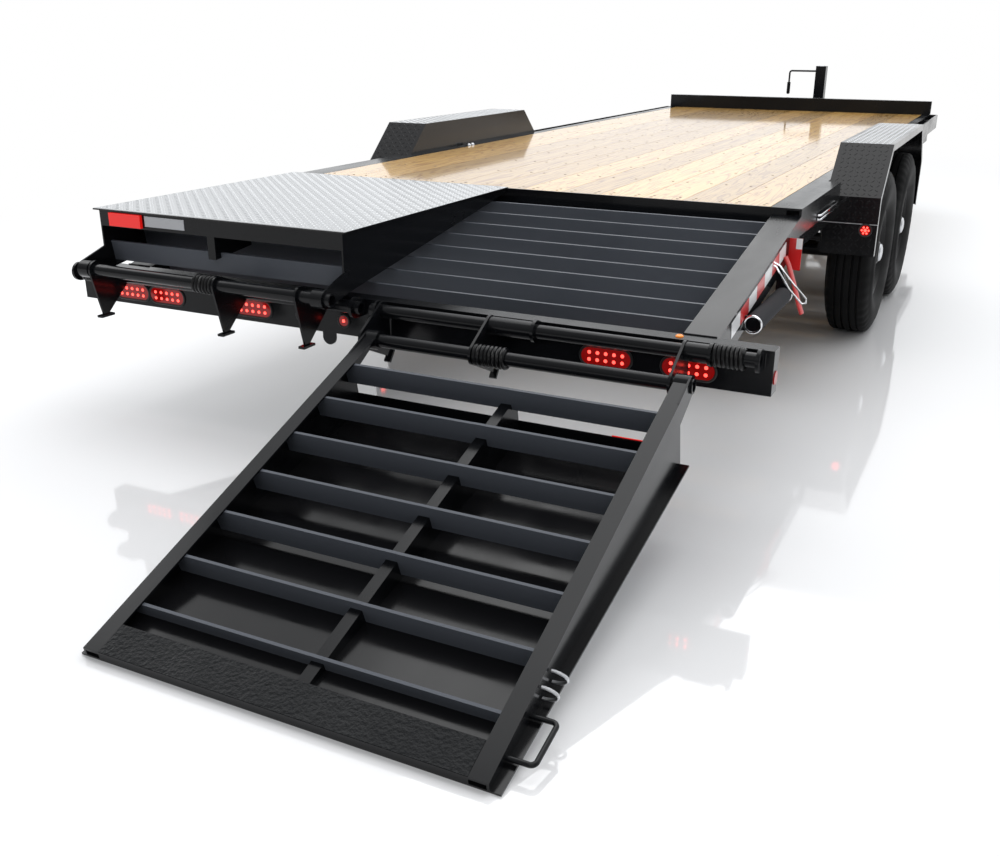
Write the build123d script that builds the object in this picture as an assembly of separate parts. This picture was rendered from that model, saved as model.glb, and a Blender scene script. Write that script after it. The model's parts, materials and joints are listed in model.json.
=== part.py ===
from build123d import *
import math
import os

# Car transport trailer, in millimetres. X runs to the right seen from behind, Y forward to the
# coupler, Z up from the ground. Inside this file Y is 0 at the rear face of the rear beam.
# Every piece is moved by one shift at the end, so that the origin lies on the ground under the
# middle of the whole trailer.

# Running gear
TYRE_R = 378.0
TYRE_WIDTH = 212.0
TYRE_SIDE_GAP = 7.0
BEAD_INSET = 28.0
RIM_R = 203.0
DISC_INSET = 73.0
DRUM_INSET = 41.0
AXLE_Y = 2410.0
AXLE_SPACING = 850.0
AXLE_TUBE_R = 38.0
SPINDLE_R = 28.0
SPINDLE_GAP = 0.4
SEAT_TOP = 46.0
SPRING_INSET = 47.0
LEAF_WIDTH = 50.0
LEAF_THICK = 9.0
EYE_WIDTH = 52.0
EYE_R = 18.0
SPRING_HALF_LENGTH = 330.0
SPRING_EYE_RISE = 110.0
HANGER_DROP = 57.0

# Frame and deck
PLANK_THICK = 38.0
PLANK_COUNT = 12
PLANK_GAP = 2.0
DECK_REAR_Y = 1125.0
DECK_FRONT_Y = 6520.0
DECK_LIP = 50.0
RAIL_OUT_X = 1067.0
RAIL_HEIGHT = 203.0
RAIL_FLANGE = 57.0
STEEL = 8.0
CROSS_HEIGHT = 76.0
CROSS_WIDTH = 38.0
CROSS_STEEL = 5.0
CROSS_PITCH = 406.0
RUB_REACH = 56.0
RUB_DEPTH = 100.0
POCKET_LENGTH = 90.0
POCKET_PITCH = 610.0
STOP_HEIGHT = 102.0
STOP_THICK = 62.0

# Dovetail
DOVE_STEP = 26.0
DOVE_INSET = 51.0
DOVE_RAIL_DEPTH = 105.0
DOVE_CLEATS = 8
CLEAT_THICK = 8.0
CLEAT_DEPTH = 72.0
STRINGER_X = 460.0

# Rear beam and lamps
BEAM_DROP = 218.0
BEAM_HEIGHT = 131.0
BEAM_DEPTH = 61.0
LENS = 3.0
LAMP_GAP = 0.3
LAMP_LOW = 18.0
END_LAMP_R = 20.0
TAB_X = -218.0
TAB_WIDTH = 52.0
TAB_DROP = 58.0

# Ramp carrier and link
UPPER_Y = -45.0
UPPER_DROP = 19.0
TUBE_R = 21.2
TUBE_WALL = 5.0
RUNNING_GAP = 0.6
SIDE_GAP = 0.5
SLEEVE_R = 28.0
LUG_THICK = 10.0
LUG_R = 34.0
LUG_FOOT = 50.0
LUG_INNER = 32.0
LUG_MIDDLE_X = 591.0
LUG_OUTER = 14.0
LUG_END = 36.0
LINK_LENGTH = 125.0
LINK_FOLDED = 22.0
LINK_TURN = 52.0
LINK_BOSS_R = 32.0
LINK_THICK = 8.0
LINK_PLATE_GAP = 8.5
LINK_TUBE_INNER = 22.0
LINK_TUBE_OUTER = 6.0
FOOT_Y = -96.0
FOOT_Z = -107.0
FOOT_R = 14.0
SHOE_HALF = 30.0
SHOE_THICK = 8.0
SPRING_WIRE_R = 5.5
COIL_PITCH = 13.0
COIL_GAP = 3.0
UPPER_COIL_LENGTH = 86.0

# Ramp, measured from its pivot with the ramp folded: y forward, z up
RAMP_IN_X = 72.0
RAMP_INSET = 11.0
RAMP_RAIL = 45.0
RAMP_PLATE = 6.0
RAMP_PIVOT_DROP = 22.0
BUSHING_R = 30.0
TOE_GAP = 8.0
RAMP_TOE_THICK = 24.0
RAMP_ABOVE_DECK = 6.0
RAMP_HEEL = 103.0
HEEL_FLANGE = 55.0
RAMP_TOE_PLATE = 85.0
RAMP_CLEATS = 7
RAMP_FIRST_CLEAT_Y = 150.0
RAMP_LAST_CLEAT_GAP = 71.0
SPINE_X = 600.0
SPINE_WIDTH = 32.0
SPINE_DROP = 28.0
SPINE_WALL = 4.0
TREAD_THICK = 5.0
TREAD_IN_LAP = 12.0
TREAD_OUT_LAP = 24.0
MARKER_INSET = 54.0
MARKER_LENGTH = 146.0
MARKER_HEIGHT = 46.0
MARKER_THICK = 12.0
HANDLE_ROD_R = 6.0
HANDLE_REACH = 60.0
HANDLE_LENGTH = 115.0
HANDLE_FROM_TOE = 75.0
GROUND_GAP = 1.0

# Fenders
FENDER_SIDE_GAP = 5.0
FENDER_TOP_GAP = 137.0
FENDER_REAR_GAP = 72.0
FENDER_FRONT_GAP = 12.0
FENDER_RUN = 230.0
FENDER_FALL = 203.0
FENDER_LOW_RISE = 62.0
FENDER_PLATE = 4.0
FENDER_LIP = 30.0
SKIRT_HEIGHT = 135.0
SKIRT_THICK = 3.0
FENDER_LAMP_INSET = 48.0
FENDER_LAMP_RISE = 111.0
FENDER_LAMP_R = 24.0

# Tongue
TONGUE_HEIGHT = 152.0
TONGUE_FLANGE = 50.0
TONGUE_HALF = 560.0
TONGUE_NOSE_HALF = 45.0
TONGUE_LENGTH = 1280.0
TONGUE_DROP = 47.0
COUPLER_LENGTH = 330.0
HEAD_R = 46.0
HEAD_DROP = 120.0
BALL_SOCKET_R = 29.9
BALL_SOCKET_LENGTH = 50.0
JACK_SETBACK = 240.0
JACK_HALF = 45.0
JACK_WALL = 6.0
JACK_RISE = 374.0
JACK_FALL = 371.0
JACK_OVERLAP = 290.0
JACK_PLATE_HALF = 70.0
CRANK_R = 8.0
CRANK_DROP = 45.0
CRANK_REACH = 240.0
CRANK_HANDLE = 205.0
FOOT_PLATE = 12.0
FOOT_HALF_WIDTH = 110.0
FOOT_HALF_LENGTH = 75.0

# Strap bar beside the dovetail, on the right
STRAP_BAR_DROP = 25.0
STRAP_BAR_R = 22.0
STRAP_BAR_REAR_Y = 350.0
STRAP_BAR_LENGTH = 440.0
STRAP_EYE_R = 28.0

SIDES = (("left", -1), ("right", 1))

# Lamps on the rear face of the beam: centre x, half length, half height
BEAM_LAMPS = (
    (-1056.0, 78.0, 27.0),
    (-890.0, 78.0, 27.0),
    (-500.0, 78.0, 27.0),
    (-270.0, 40.0, 22.0),
    (-122.0, 18.0, 18.0),
    (0.0, 30.0, 30.0),
    (805.0, 78.0, 27.0),
    (1056.0, 78.0, 27.0),
)

# Where the middle plate of each side's link starts, and how long its lower spring is
LINK_MIDDLE_X = {"left": 502.0, "right": 440.0}
LOWER_COIL_LENGTH = {"left": 84.0, "right": 104.0}
LEFT_LINK_INNER_X = 170.0

# Places across the trailer, worked out from the sizes above
SPRING_X = RAIL_OUT_X - SPRING_INSET
RUB_OUT_X = RAIL_OUT_X + RUB_REACH
DOVE_IN_X = RAIL_OUT_X - DOVE_INSET
TRACK_HALF = RAIL_OUT_X + FENDER_PLATE + TYRE_SIDE_GAP + TYRE_WIDTH / 2
FENDER_OUT_X = TRACK_HALF + TYRE_WIDTH / 2 + FENDER_SIDE_GAP
FENDER_LAMP_X = FENDER_OUT_X - FENDER_LAMP_INSET
BEAM_HALF = FENDER_OUT_X
RAMP_OUT_X = RUB_OUT_X - RAMP_INSET
MARKER_OUT_X = RAMP_OUT_X - MARKER_INSET
MARKER_IN_X = MARKER_OUT_X - MARKER_LENGTH
LUG_X = (RAMP_IN_X - LUG_INNER, LUG_MIDDLE_X, RAMP_OUT_X + LUG_OUTER, BEAM_HALF - LUG_END)
LINK_TUBE_IN = RAMP_IN_X - LINK_TUBE_INNER
LINK_TUBE_OUT = RAMP_OUT_X + LINK_TUBE_OUTER
LINK_OUTER_X = RAMP_OUT_X - RAMP_RAIL - LINK_PLATE_GAP - LINK_THICK
LINK_INNER_X = {"left": LEFT_LINK_INNER_X, "right": RAMP_IN_X - LINK_PLATE_GAP - LINK_THICK}

# Heights
SPRING_EYE_Z = TYRE_R + SPRING_EYE_RISE
RAIL_BOTTOM_Z = SPRING_EYE_Z + HANGER_DROP
DECK_Z = RAIL_BOTTOM_Z + RAIL_HEIGHT
BEAM_TOP_Z = DECK_Z - BEAM_DROP
BEAM_BOTTOM_Z = BEAM_TOP_Z - BEAM_HEIGHT
UPPER_Z = BEAM_TOP_Z - UPPER_DROP
STRAP_BAR_Z = BEAM_TOP_Z - STRAP_BAR_DROP
TONGUE_TOP_Z = DECK_Z - TONGUE_DROP
JACK_TOP_Z = TONGUE_TOP_Z + JACK_RISE
JACK_LOW_Z = TONGUE_TOP_Z - JACK_FALL
FENDER_TOP_Z = 2 * TYRE_R + FENDER_TOP_GAP
FENDER_KNEE_Z = FENDER_TOP_Z - FENDER_FALL
FENDER_LOW_Z = TYRE_R + FENDER_LOW_RISE
FENDER_LAMP_Z = FENDER_LOW_Z + FENDER_LAMP_RISE
SKIRT_TOP_Z = FENDER_LOW_Z + SKIRT_HEIGHT

# Places along the trailer
AXLE_FRONT_Y = AXLE_Y + AXLE_SPACING
WHEELBASE_MID_Y = (AXLE_Y + AXLE_FRONT_Y) / 2
TONGUE_NOSE_Y = DECK_FRONT_Y + TONGUE_LENGTH
JACK_Y = TONGUE_NOSE_Y - JACK_SETBACK

# Other values worked out from the sizes above
CROSS_TOP_Z = DECK_Z - PLANK_THICK
PLANK_HALF = RAIL_OUT_X - RAIL_FLANGE - PLANK_GAP
LAMP_Z = (BEAM_BOTTOM_Z + BEAM_TOP_Z) / 2 - LAMP_LOW
FENDER_REAR_Y = AXLE_Y - TYRE_R - FENDER_REAR_GAP
FENDER_FRONT_Y = AXLE_FRONT_Y + TYRE_R + FENDER_FRONT_GAP
POCKET_COUNT = int((DECK_FRONT_Y - FENDER_FRONT_Y - POCKET_LENGTH) // POCKET_PITCH) + 1


def turned(y, z, degrees):
    """A point in the YZ plane turned about X, from +Y towards +Z."""
    a = math.radians(degrees)
    return y * math.cos(a) - z * math.sin(a), y * math.sin(a) + z * math.cos(a)


FOLD_Y, FOLD_Z = turned(-LINK_LENGTH, 0, -LINK_FOLDED)
OPEN_Y, OPEN_Z = turned(FOLD_Y, FOLD_Z, LINK_TURN)
PIVOT_FOLDED = (UPPER_Y + FOLD_Y, UPPER_Z + FOLD_Z)
PIVOT_OPEN = (UPPER_Y + OPEN_Y, UPPER_Z + OPEN_Z)
RAMP_TOE = DECK_REAR_Y - TOE_GAP - PIVOT_FOLDED[0]
RAMP_CLEAT_ROOM = RAMP_TOE - RAMP_TOE_PLATE - RAMP_LAST_CLEAT_GAP - RAMP_FIRST_CLEAT_Y
RAMP_CLEAT_PITCH = RAMP_CLEAT_ROOM / (RAMP_CLEATS - 1)
TREAD_Z = DECK_Z + RAMP_ABOVE_DECK - PIVOT_FOLDED[1]
WEDGE_TOP = TREAD_Z - TREAD_THICK
TOE_REACH = math.hypot(RAMP_TOE, TREAD_Z)
TOE_ANGLE = math.degrees(math.atan2(TREAD_Z, RAMP_TOE))
RAMP_SLOPE = math.degrees(math.asin((PIVOT_OPEN[1] - GROUND_GAP) / TOE_REACH)) - TOE_ANGLE
RAMP_TURN = 180 + RAMP_SLOPE
TOE_Y = PIVOT_OPEN[0] + turned(RAMP_TOE, TREAD_Z, RAMP_TURN)[0]
CLEAT_RISE = (TREAD_Z - RAMP_TOE_THICK + RAMP_PIVOT_DROP) / RAMP_TOE
RAMP_WEDGE = math.degrees(math.atan(CLEAT_RISE))
COUPLER_NOSE_Y = TONGUE_NOSE_Y + COUPLER_LENGTH
MIDDLE_Y = (TOE_Y + COUPLER_NOSE_Y) / 2
STRAP_BAR_X = RUB_OUT_X + STRAP_EYE_R
DOVE_TOP_Z = DECK_Z - DOVE_STEP
DOVE_RUN = DECK_REAR_Y - BEAM_DEPTH
DOVE_DROP = DOVE_TOP_Z - BEAM_TOP_Z
DOVE_ANGLE = math.degrees(math.atan2(DOVE_DROP, DOVE_RUN))


def box(x0, x1, y0, y1, z0, z1):
    """A block between two corners."""
    size = Box(x1 - x0, y1 - y0, z1 - z0)
    return Pos((x0 + x1) / 2, (y0 + y1) / 2, (z0 + z1) / 2) * size


def plate_x(points, x0, x1):
    """An outline of (y, z) points, thick from x0 to x1."""
    return extrude(Plane.YZ.offset(x0) * Polygon(*points, align=None), x1 - x0, (1, 0, 0))


def plate_y(points, y0, y1):
    """An outline of (x, z) points, thick from y0 to y1."""
    return extrude(Plane.XZ.offset(-y0) * Polygon(*points, align=None), y1 - y0, (0, 1, 0))


def plate_z(points, z0, z1):
    """An outline of (x, y) points, thick from z0 to z1."""
    return extrude(Plane.XY.offset(z0) * Polygon(*points, align=None), z1 - z0, (0, 0, 1))


def rod_x(y, z, radius, x0, x1):
    """A round bar along X."""
    return Pos((x0 + x1) / 2, y, z) * Rot(0, 90, 0) * Cylinder(radius, x1 - x0)


def hull_x(circles, x0, x1):
    """A plate that wraps circles given as (y, z, radius), thick from x0 to x1."""
    edges = []
    for y, z, radius in circles:
        edges.append((Pos(y, z) * Circle(radius)).edge())
    return extrude(Plane.YZ.offset(x0) * make_hull(edges), x1 - x0, (1, 0, 0))


def sided(shape, side):
    """The right-hand piece itself, or its mirror image on the left."""
    return shape if side > 0 else mirror(shape, about=Plane.YZ)


def both_sides(*shapes):
    """The right-hand pieces and their mirror images."""
    return [sided(shape, side) for _, side in SIDES for shape in shapes]


def save(name, *shapes):
    """Writes the solids of one piece, moved to the trailer's own origin."""
    solids = []
    for shape in shapes:
        solids.extend(shape.solids())
    piece = Compound(children=[Pos(0, -MIDDLE_Y, 0) * solid for solid in solids])
    piece.label = name
    export_step(piece, os.path.join("parts", name + ".step"))


def channel_points(web, back, flange_end, low, high, steel):
    """Outline of a channel whose web lies between web and back, with flanges to flange_end."""
    return [(back, low), (back, high), (flange_end, high), (flange_end, high - steel),
            (web, high - steel), (web, low + steel), (flange_end, low + steel),
            (flange_end, low)]


# Frame

def frame_rail():
    """The straight channel along the deck's edge, with its flanges inward."""
    points = channel_points(RAIL_OUT_X - STEEL, RAIL_OUT_X, RAIL_OUT_X - RAIL_FLANGE,
                            RAIL_BOTTOM_Z, DECK_Z, STEEL)
    return plate_y(points, DECK_REAR_Y, DECK_FRONT_Y)


def cross_members():
    """Channels across the frame that carry the planks."""
    pieces = []
    first = DECK_REAR_Y + DECK_LIP + CROSS_WIDTH
    count = int((DECK_FRONT_Y - STOP_THICK - first) // CROSS_PITCH) + 1
    for index in range(count):
        y = first + index * CROSS_PITCH
        points = channel_points(y + CROSS_STEEL, y, y + CROSS_WIDTH,
                                CROSS_TOP_Z - CROSS_HEIGHT, CROSS_TOP_Z, CROSS_STEEL)
        pieces.append(plate_x(points, STEEL - RAIL_OUT_X, RAIL_OUT_X - STEEL))
    return pieces


def end_web(y0):
    """A plate across the frame that reaches the deck's surface between the rails."""
    half = RAIL_OUT_X - STEEL
    low = RAIL_BOTTOM_Z + STEEL
    shoulder = DECK_Z - STEEL
    points = [(-half, low), (half, low), (half, shoulder), (PLANK_HALF, shoulder),
              (PLANK_HALF, DECK_Z), (-PLANK_HALF, DECK_Z), (-PLANK_HALF, shoulder),
              (-half, shoulder)]
    return plate_y(points, y0, y0 + STEEL)


def end_members():
    """The plates that close the frame at the deck's rear and front, with ledges for the planks."""
    half = RAIL_OUT_X - STEEL
    pieces = []
    for y0, y1, web_y in ((DECK_REAR_Y, DECK_REAR_Y + DECK_LIP, DECK_REAR_Y),
                          (DECK_FRONT_Y - STOP_THICK, DECK_FRONT_Y, DECK_FRONT_Y - STEEL)):
        member = end_web(web_y)
        member += box(-half, half, y0, y1, CROSS_TOP_Z - STEEL, CROSS_TOP_Z)
        member += box(-half, half, y0, y1, RAIL_BOTTOM_Z + STEEL, RAIL_BOTTOM_Z + 2 * STEEL)
        pieces.append(member)
    return pieces


def deck_planks():
    """Boards laid lengthwise between the rails."""
    pieces = []
    pitch = 2 * PLANK_HALF / PLANK_COUNT
    for index in range(PLANK_COUNT):
        x0 = -PLANK_HALF + index * pitch
        pieces.append(box(x0 + PLANK_GAP / 2, x0 + pitch - PLANK_GAP / 2,
                          DECK_REAR_Y + STEEL, DECK_FRONT_Y - STEEL, CROSS_TOP_Z, DECK_Z))
    return pieces


def front_stop():
    """The low rail that stands across the front of the deck."""
    y1 = DECK_FRONT_Y
    y0 = y1 - STOP_THICK
    outer = box(-RAIL_OUT_X, RAIL_OUT_X, y0, y1, DECK_Z, DECK_Z + STOP_HEIGHT)
    inner = box(-RAIL_OUT_X, RAIL_OUT_X, y0 + CROSS_STEEL, y1 - CROSS_STEEL,
                DECK_Z + CROSS_STEEL, DECK_Z + STOP_HEIGHT - CROSS_STEEL)
    return outer - inner


def rub_rail_rear():
    """The wide flat edge between the dovetail and the fender."""
    y1 = FENDER_REAR_Y
    top = box(RAIL_OUT_X, RUB_OUT_X, DECK_REAR_Y, y1, DECK_Z - STEEL, DECK_Z)
    face = box(RUB_OUT_X - STEEL, RUB_OUT_X, DECK_REAR_Y, y1, DECK_Z - RUB_DEPTH, DECK_Z)
    return top + face


def rub_rail_front():
    """The flat bar ahead of the fender."""
    return box(RUB_OUT_X - STEEL, RUB_OUT_X, FENDER_FRONT_Y, DECK_FRONT_Y,
               DECK_Z - RUB_DEPTH, DECK_Z)


def stake_pockets():
    """Pairs of plates that hold the flat bar off the frame, with a pocket in each pair."""
    pieces = []
    for index in range(POCKET_COUNT):
        rear = DECK_FRONT_Y - POCKET_LENGTH - index * POCKET_PITCH
        for y0 in (rear, rear + POCKET_LENGTH - CROSS_STEEL):
            pieces.append(box(RAIL_OUT_X, RUB_OUT_X - STEEL, y0, y0 + CROSS_STEEL,
                              DECK_Z - RUB_DEPTH, DECK_Z))
    return pieces


# Dovetail

def dove_z(y):
    """Height of the dovetail's surface at a distance ahead of the beam's rear face."""
    return BEAM_TOP_Z + (y - BEAM_DEPTH) * DOVE_DROP / DOVE_RUN


def dovetail_side():
    """A sloped box rail with an open underside."""
    y0, y1 = BEAM_DEPTH, DECK_REAR_Y

    def outline(drop_top, drop_bottom):
        return [(y0, dove_z(y0) - drop_top), (y1, dove_z(y1) - drop_top),
                (y1, dove_z(y1) - drop_bottom), (y0, dove_z(y0) - drop_bottom)]

    body = plate_x(outline(0, DOVE_RAIL_DEPTH), DOVE_IN_X, RUB_OUT_X)
    inside = plate_x(outline(STEEL, DOVE_RAIL_DEPTH + STEEL), DOVE_IN_X + STEEL,
                     RUB_OUT_X - STEEL)
    return body - inside


def dovetail_cleats():
    """Bars on edge across the slope."""
    pieces = []
    pitch = DOVE_RUN / (DOVE_CLEATS + 0.5)
    for index in range(DOVE_CLEATS):
        y = BEAM_DEPTH + pitch * (index + 0.75)
        bar = box(-DOVE_IN_X, DOVE_IN_X, -CLEAT_THICK / 2, CLEAT_THICK / 2, -CLEAT_DEPTH, 0)
        pieces.append(Pos(0, y, dove_z(y)) * Rot(DOVE_ANGLE, 0, 0) * bar)
    return pieces


def dovetail_stringers():
    """Channels under the cleats, from the beam to the deck's rear member."""
    pieces = []
    y0, y1 = STEEL, DECK_REAR_Y
    cos_slope = math.cos(math.radians(DOVE_ANGLE))
    top = CLEAT_DEPTH / cos_slope
    for x in (-STRINGER_X, STRINGER_X):
        points = [(y0, dove_z(y0) - top), (y1, dove_z(y1) - top),
                  (y1, dove_z(y1) - top - CROSS_HEIGHT), (y0, BEAM_BOTTOM_Z + STEEL)]
        pieces.append(plate_x(points, x - STEEL / 2, x + STEEL / 2))
    return pieces


# Rear beam and ramp carriers

def lamp_outline(half_length, half_height, gap):
    """An oval or round lamp's outline, grown by a gap."""
    if half_length > half_height:
        return SlotOverall(2 * (half_length + gap), 2 * (half_height + gap))
    return Circle(half_height + gap)


def lamp_body(x, half_length, half_height, gap, y0, y1):
    """A lamp, or the hole for it, from y0 to y1."""
    face = Plane.XZ.offset(-y0) * Pos(x, LAMP_Z) * lamp_outline(half_length, half_height, gap)
    return extrude(face, y1 - y0, (0, 1, 0))


def rear_beam():
    """A channel open to the front with closed ends, lamp holes and a tab below it."""
    points = channel_points(STEEL, 0, BEAM_DEPTH, BEAM_BOTTOM_Z, BEAM_TOP_Z, STEEL)
    beam = plate_x(points, -BEAM_HALF, BEAM_HALF)
    for x0 in (-BEAM_HALF, BEAM_HALF - STEEL):
        beam += box(x0, x0 + STEEL, 0, BEAM_DEPTH, BEAM_BOTTOM_Z, BEAM_TOP_Z)
    for x, half_length, half_height in BEAM_LAMPS:
        beam -= lamp_body(x, half_length, half_height, LAMP_GAP, -1, STEEL + 1)
    radius = TAB_WIDTH / 2
    tab = box(TAB_X - radius, TAB_X + radius, BEAM_DEPTH - 2 * STEEL, BEAM_DEPTH - STEEL,
              BEAM_BOTTOM_Z - TAB_DROP + radius, BEAM_BOTTOM_Z)
    tab += Pos(TAB_X, BEAM_DEPTH - 1.5 * STEEL, BEAM_BOTTOM_Z - TAB_DROP + radius) \
        * Rot(90, 0, 0) * Cylinder(radius, STEEL)
    return beam + tab


def beam_lamps():
    """Lamps in the beam's rear face, oval or round."""
    return [lamp_body(x, half_length, half_height, 0, -LENS, STEEL - LAMP_GAP)
            for x, half_length, half_height in BEAM_LAMPS]


def end_lamp():
    """A round lamp on the end of the beam."""
    return rod_x(BEAM_DEPTH / 2, LAMP_Z, END_LAMP_R, BEAM_HALF, BEAM_HALF + LENS)


def coil(x0, length):
    """A close-wound spring round a tube, drawn as ridges side by side."""
    turns = round(length / COIL_PITCH)
    pitch = length / turns
    inner = TUBE_R - 1
    valley = TUBE_R + SPRING_WIRE_R
    outer = TUBE_R + 2 * SPRING_WIRE_R
    points = [(x0, inner)]
    for turn in range(turns):
        start = x0 + turn * pitch
        points += [(start, valley), (start + pitch / 3, outer), (start + 2 * pitch / 3, outer)]
    points += [(x0 + length, valley), (x0 + length, inner)]
    return revolve(make_face(Polyline(*points, close=True)), Axis.X)


def ramp_carrier(name):
    """The fixed upper tube in its lugs, with sleeves and the spring at its outer end."""
    x0, x1 = LUG_X[0] - 2 * LUG_THICK, LUG_X[-1] + LUG_THICK
    carrier = rod_x(UPPER_Y, UPPER_Z, TUBE_R, x0, x1)
    for x in LUG_X:
        carrier += hull_x(((UPPER_Y, UPPER_Z, LUG_R),
                           (-LUG_THICK / 2, BEAM_TOP_Z - LUG_FOOT, LUG_THICK / 2),
                           (-LUG_THICK / 2, BEAM_TOP_Z - LUG_THICK / 2, LUG_THICK / 2)),
                          x, x + LUG_THICK)
    for plate, lug in zip((LINK_MIDDLE_X[name], LINK_OUTER_X), LUG_X[1:3]):
        carrier += rod_x(UPPER_Y, UPPER_Z, SLEEVE_R, plate + LINK_THICK + SIDE_GAP, lug)
    carrier += Pos(0, UPPER_Y, UPPER_Z) * coil(LUG_X[2] + LUG_THICK + COIL_GAP,
                                               UPPER_COIL_LENGTH)
    return carrier - rod_x(UPPER_Y, UPPER_Z, TUBE_R - TUBE_WALL, x0, x1)


def link(name):
    """Three triangular plates on the lower tube, at rest folded, about the upper tube."""
    middle = LINK_MIDDLE_X[name]
    body = rod_x(FOLD_Y, FOLD_Z, TUBE_R, LINK_TUBE_IN, LINK_TUBE_OUT)
    for x in (LINK_INNER_X[name], middle, LINK_OUTER_X):
        body += hull_x(((0, 0, LINK_BOSS_R), (FOLD_Y, FOLD_Z, LINK_BOSS_R),
                        (FOOT_Y, FOOT_Z, FOOT_R)), x, x + LINK_THICK)
        body += box(x - SHOE_THICK, x + LINK_THICK + SHOE_THICK, FOOT_Y - SHOE_HALF,
                    FOOT_Y + SHOE_HALF, FOOT_Z - FOOT_R - SHOE_THICK / 2,
                    FOOT_Z - FOOT_R + SHOE_THICK / 2)
    body += Pos(0, FOLD_Y, FOLD_Z) * coil(middle + LINK_THICK + COIL_GAP,
                                          LOWER_COIL_LENGTH[name])
    body -= rod_x(FOLD_Y, FOLD_Z, TUBE_R - TUBE_WALL, LINK_TUBE_IN, LINK_TUBE_OUT)
    return body - rod_x(0, 0, TUBE_R + RUNNING_GAP, LINK_TUBE_IN, LINK_TUBE_OUT)


# Ramps, drawn folded about the pivot

def cleat_z(y):
    """Height of the cleat side of the folded ramp."""
    return y * CLEAT_RISE - RAMP_PIVOT_DROP


def ramp_rail(web_x0, x0, x1):
    """A side of the wedge: an upright plate, the face along its cleat side, and a bushing."""
    web_x1 = web_x0 + RAMP_PLATE
    rail = plate_x([(RAMP_HEEL, cleat_z(RAMP_HEEL)), (RAMP_TOE, cleat_z(RAMP_TOE)),
                    (RAMP_TOE, WEDGE_TOP), (RAMP_HEEL, WEDGE_TOP)], web_x0, web_x1)
    rail += hull_x(((0, 0, BUSHING_R),
                    (RAMP_HEEL + RAMP_PLATE, cleat_z(RAMP_HEEL) + RAMP_PLATE, RAMP_PLATE),
                    (RAMP_HEEL + RAMP_PLATE, 2 * BUSHING_R, RAMP_PLATE)), web_x0, web_x1)
    rail += plate_x([(0, cleat_z(0)), (RAMP_TOE, cleat_z(RAMP_TOE)),
                     (RAMP_TOE, cleat_z(RAMP_TOE) + RAMP_PLATE),
                     (0, cleat_z(0) + RAMP_PLATE)], x0, x1)
    rail += rod_x(0, 0, BUSHING_R, x0, x1)
    return rail - rod_x(0, 0, TUBE_R + RUNNING_GAP, x0, x1)


def ramp_sides():
    """The inner and the outer rail."""
    return [ramp_rail(RAMP_IN_X, RAMP_IN_X, RAMP_IN_X + RAMP_RAIL),
            ramp_rail(RAMP_OUT_X - RAMP_PLATE, RAMP_OUT_X - RAMP_RAIL, RAMP_OUT_X)]


def ramp_spine():
    """The middle tube, with the heel flange and the bent toe plate on its ends."""
    heel_y = RAMP_HEEL + RAMP_PLATE
    toe_y = RAMP_TOE - RAMP_TOE_PLATE
    heel_z = cleat_z(heel_y) + SPINE_DROP
    toe_z = cleat_z(toe_y) + RAMP_PLATE
    tube = plate_x([(heel_y, heel_z), (toe_y, toe_z), (toe_y, WEDGE_TOP),
                    (heel_y, WEDGE_TOP)], SPINE_X, SPINE_X + SPINE_WIDTH)
    wall = SPINE_WALL
    tube -= plate_x([(heel_y + wall, heel_z + wall), (toe_y, toe_z + wall),
                     (toe_y, WEDGE_TOP - wall), (heel_y + wall, WEDGE_TOP - wall)],
                    SPINE_X + wall, SPINE_X + SPINE_WIDTH - wall)
    heel = box(RAMP_IN_X + RAMP_PLATE, RAMP_OUT_X - RAMP_PLATE, RAMP_HEEL, heel_y,
               WEDGE_TOP - HEEL_FLANGE, WEDGE_TOP)
    toe = plate_x([(toe_y, cleat_z(toe_y)), (RAMP_TOE, cleat_z(RAMP_TOE)),
                   (RAMP_TOE, WEDGE_TOP), (RAMP_TOE - RAMP_PLATE, WEDGE_TOP),
                   (RAMP_TOE - RAMP_PLATE, cleat_z(RAMP_TOE) + RAMP_PLATE),
                   (toe_y, toe_z)], RAMP_IN_X + RAMP_RAIL, RAMP_OUT_X - RAMP_RAIL)
    lap = plate_x([(toe_y, toe_z), (toe_y + RAMP_PLATE, cleat_z(toe_y + RAMP_PLATE)),
                   (toe_y + RAMP_PLATE, WEDGE_TOP), (toe_y, WEDGE_TOP)],
                  RAMP_IN_X + RAMP_RAIL, RAMP_OUT_X - RAMP_RAIL)
    return tube + heel + toe + lap


def ramp_cleats():
    """Bars on edge across the ramp, from each rail to the middle tube."""
    pieces = []
    wedge = math.radians(RAMP_WEDGE)
    for index in range(RAMP_CLEATS):
        y = RAMP_FIRST_CLEAT_Y + index * RAMP_CLEAT_PITCH
        z = cleat_z(y) + RAMP_PLATE / math.cos(wedge)
        room = (WEDGE_TOP - z - CLEAT_THICK / 2 * math.sin(wedge)) / math.cos(wedge)
        depth = min(CLEAT_DEPTH, room)
        for x0, x1 in ((RAMP_IN_X + RAMP_PLATE, SPINE_X),
                       (SPINE_X + SPINE_WIDTH, RAMP_OUT_X - RAMP_PLATE)):
            bar = box(x0, x1, -CLEAT_THICK / 2, CLEAT_THICK / 2, 0, depth)
            pieces.append(Pos(0, y, z) * Rot(RAMP_WEDGE, 0, 0) * bar)
    return pieces


def tread_plate():
    """The checkered plate on the wedge's flat side."""
    return box(RAMP_IN_X - TREAD_IN_LAP, RAMP_OUT_X + TREAD_OUT_LAP, RAMP_HEEL - RAMP_PLATE,
               RAMP_TOE, WEDGE_TOP, TREAD_Z)


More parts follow.
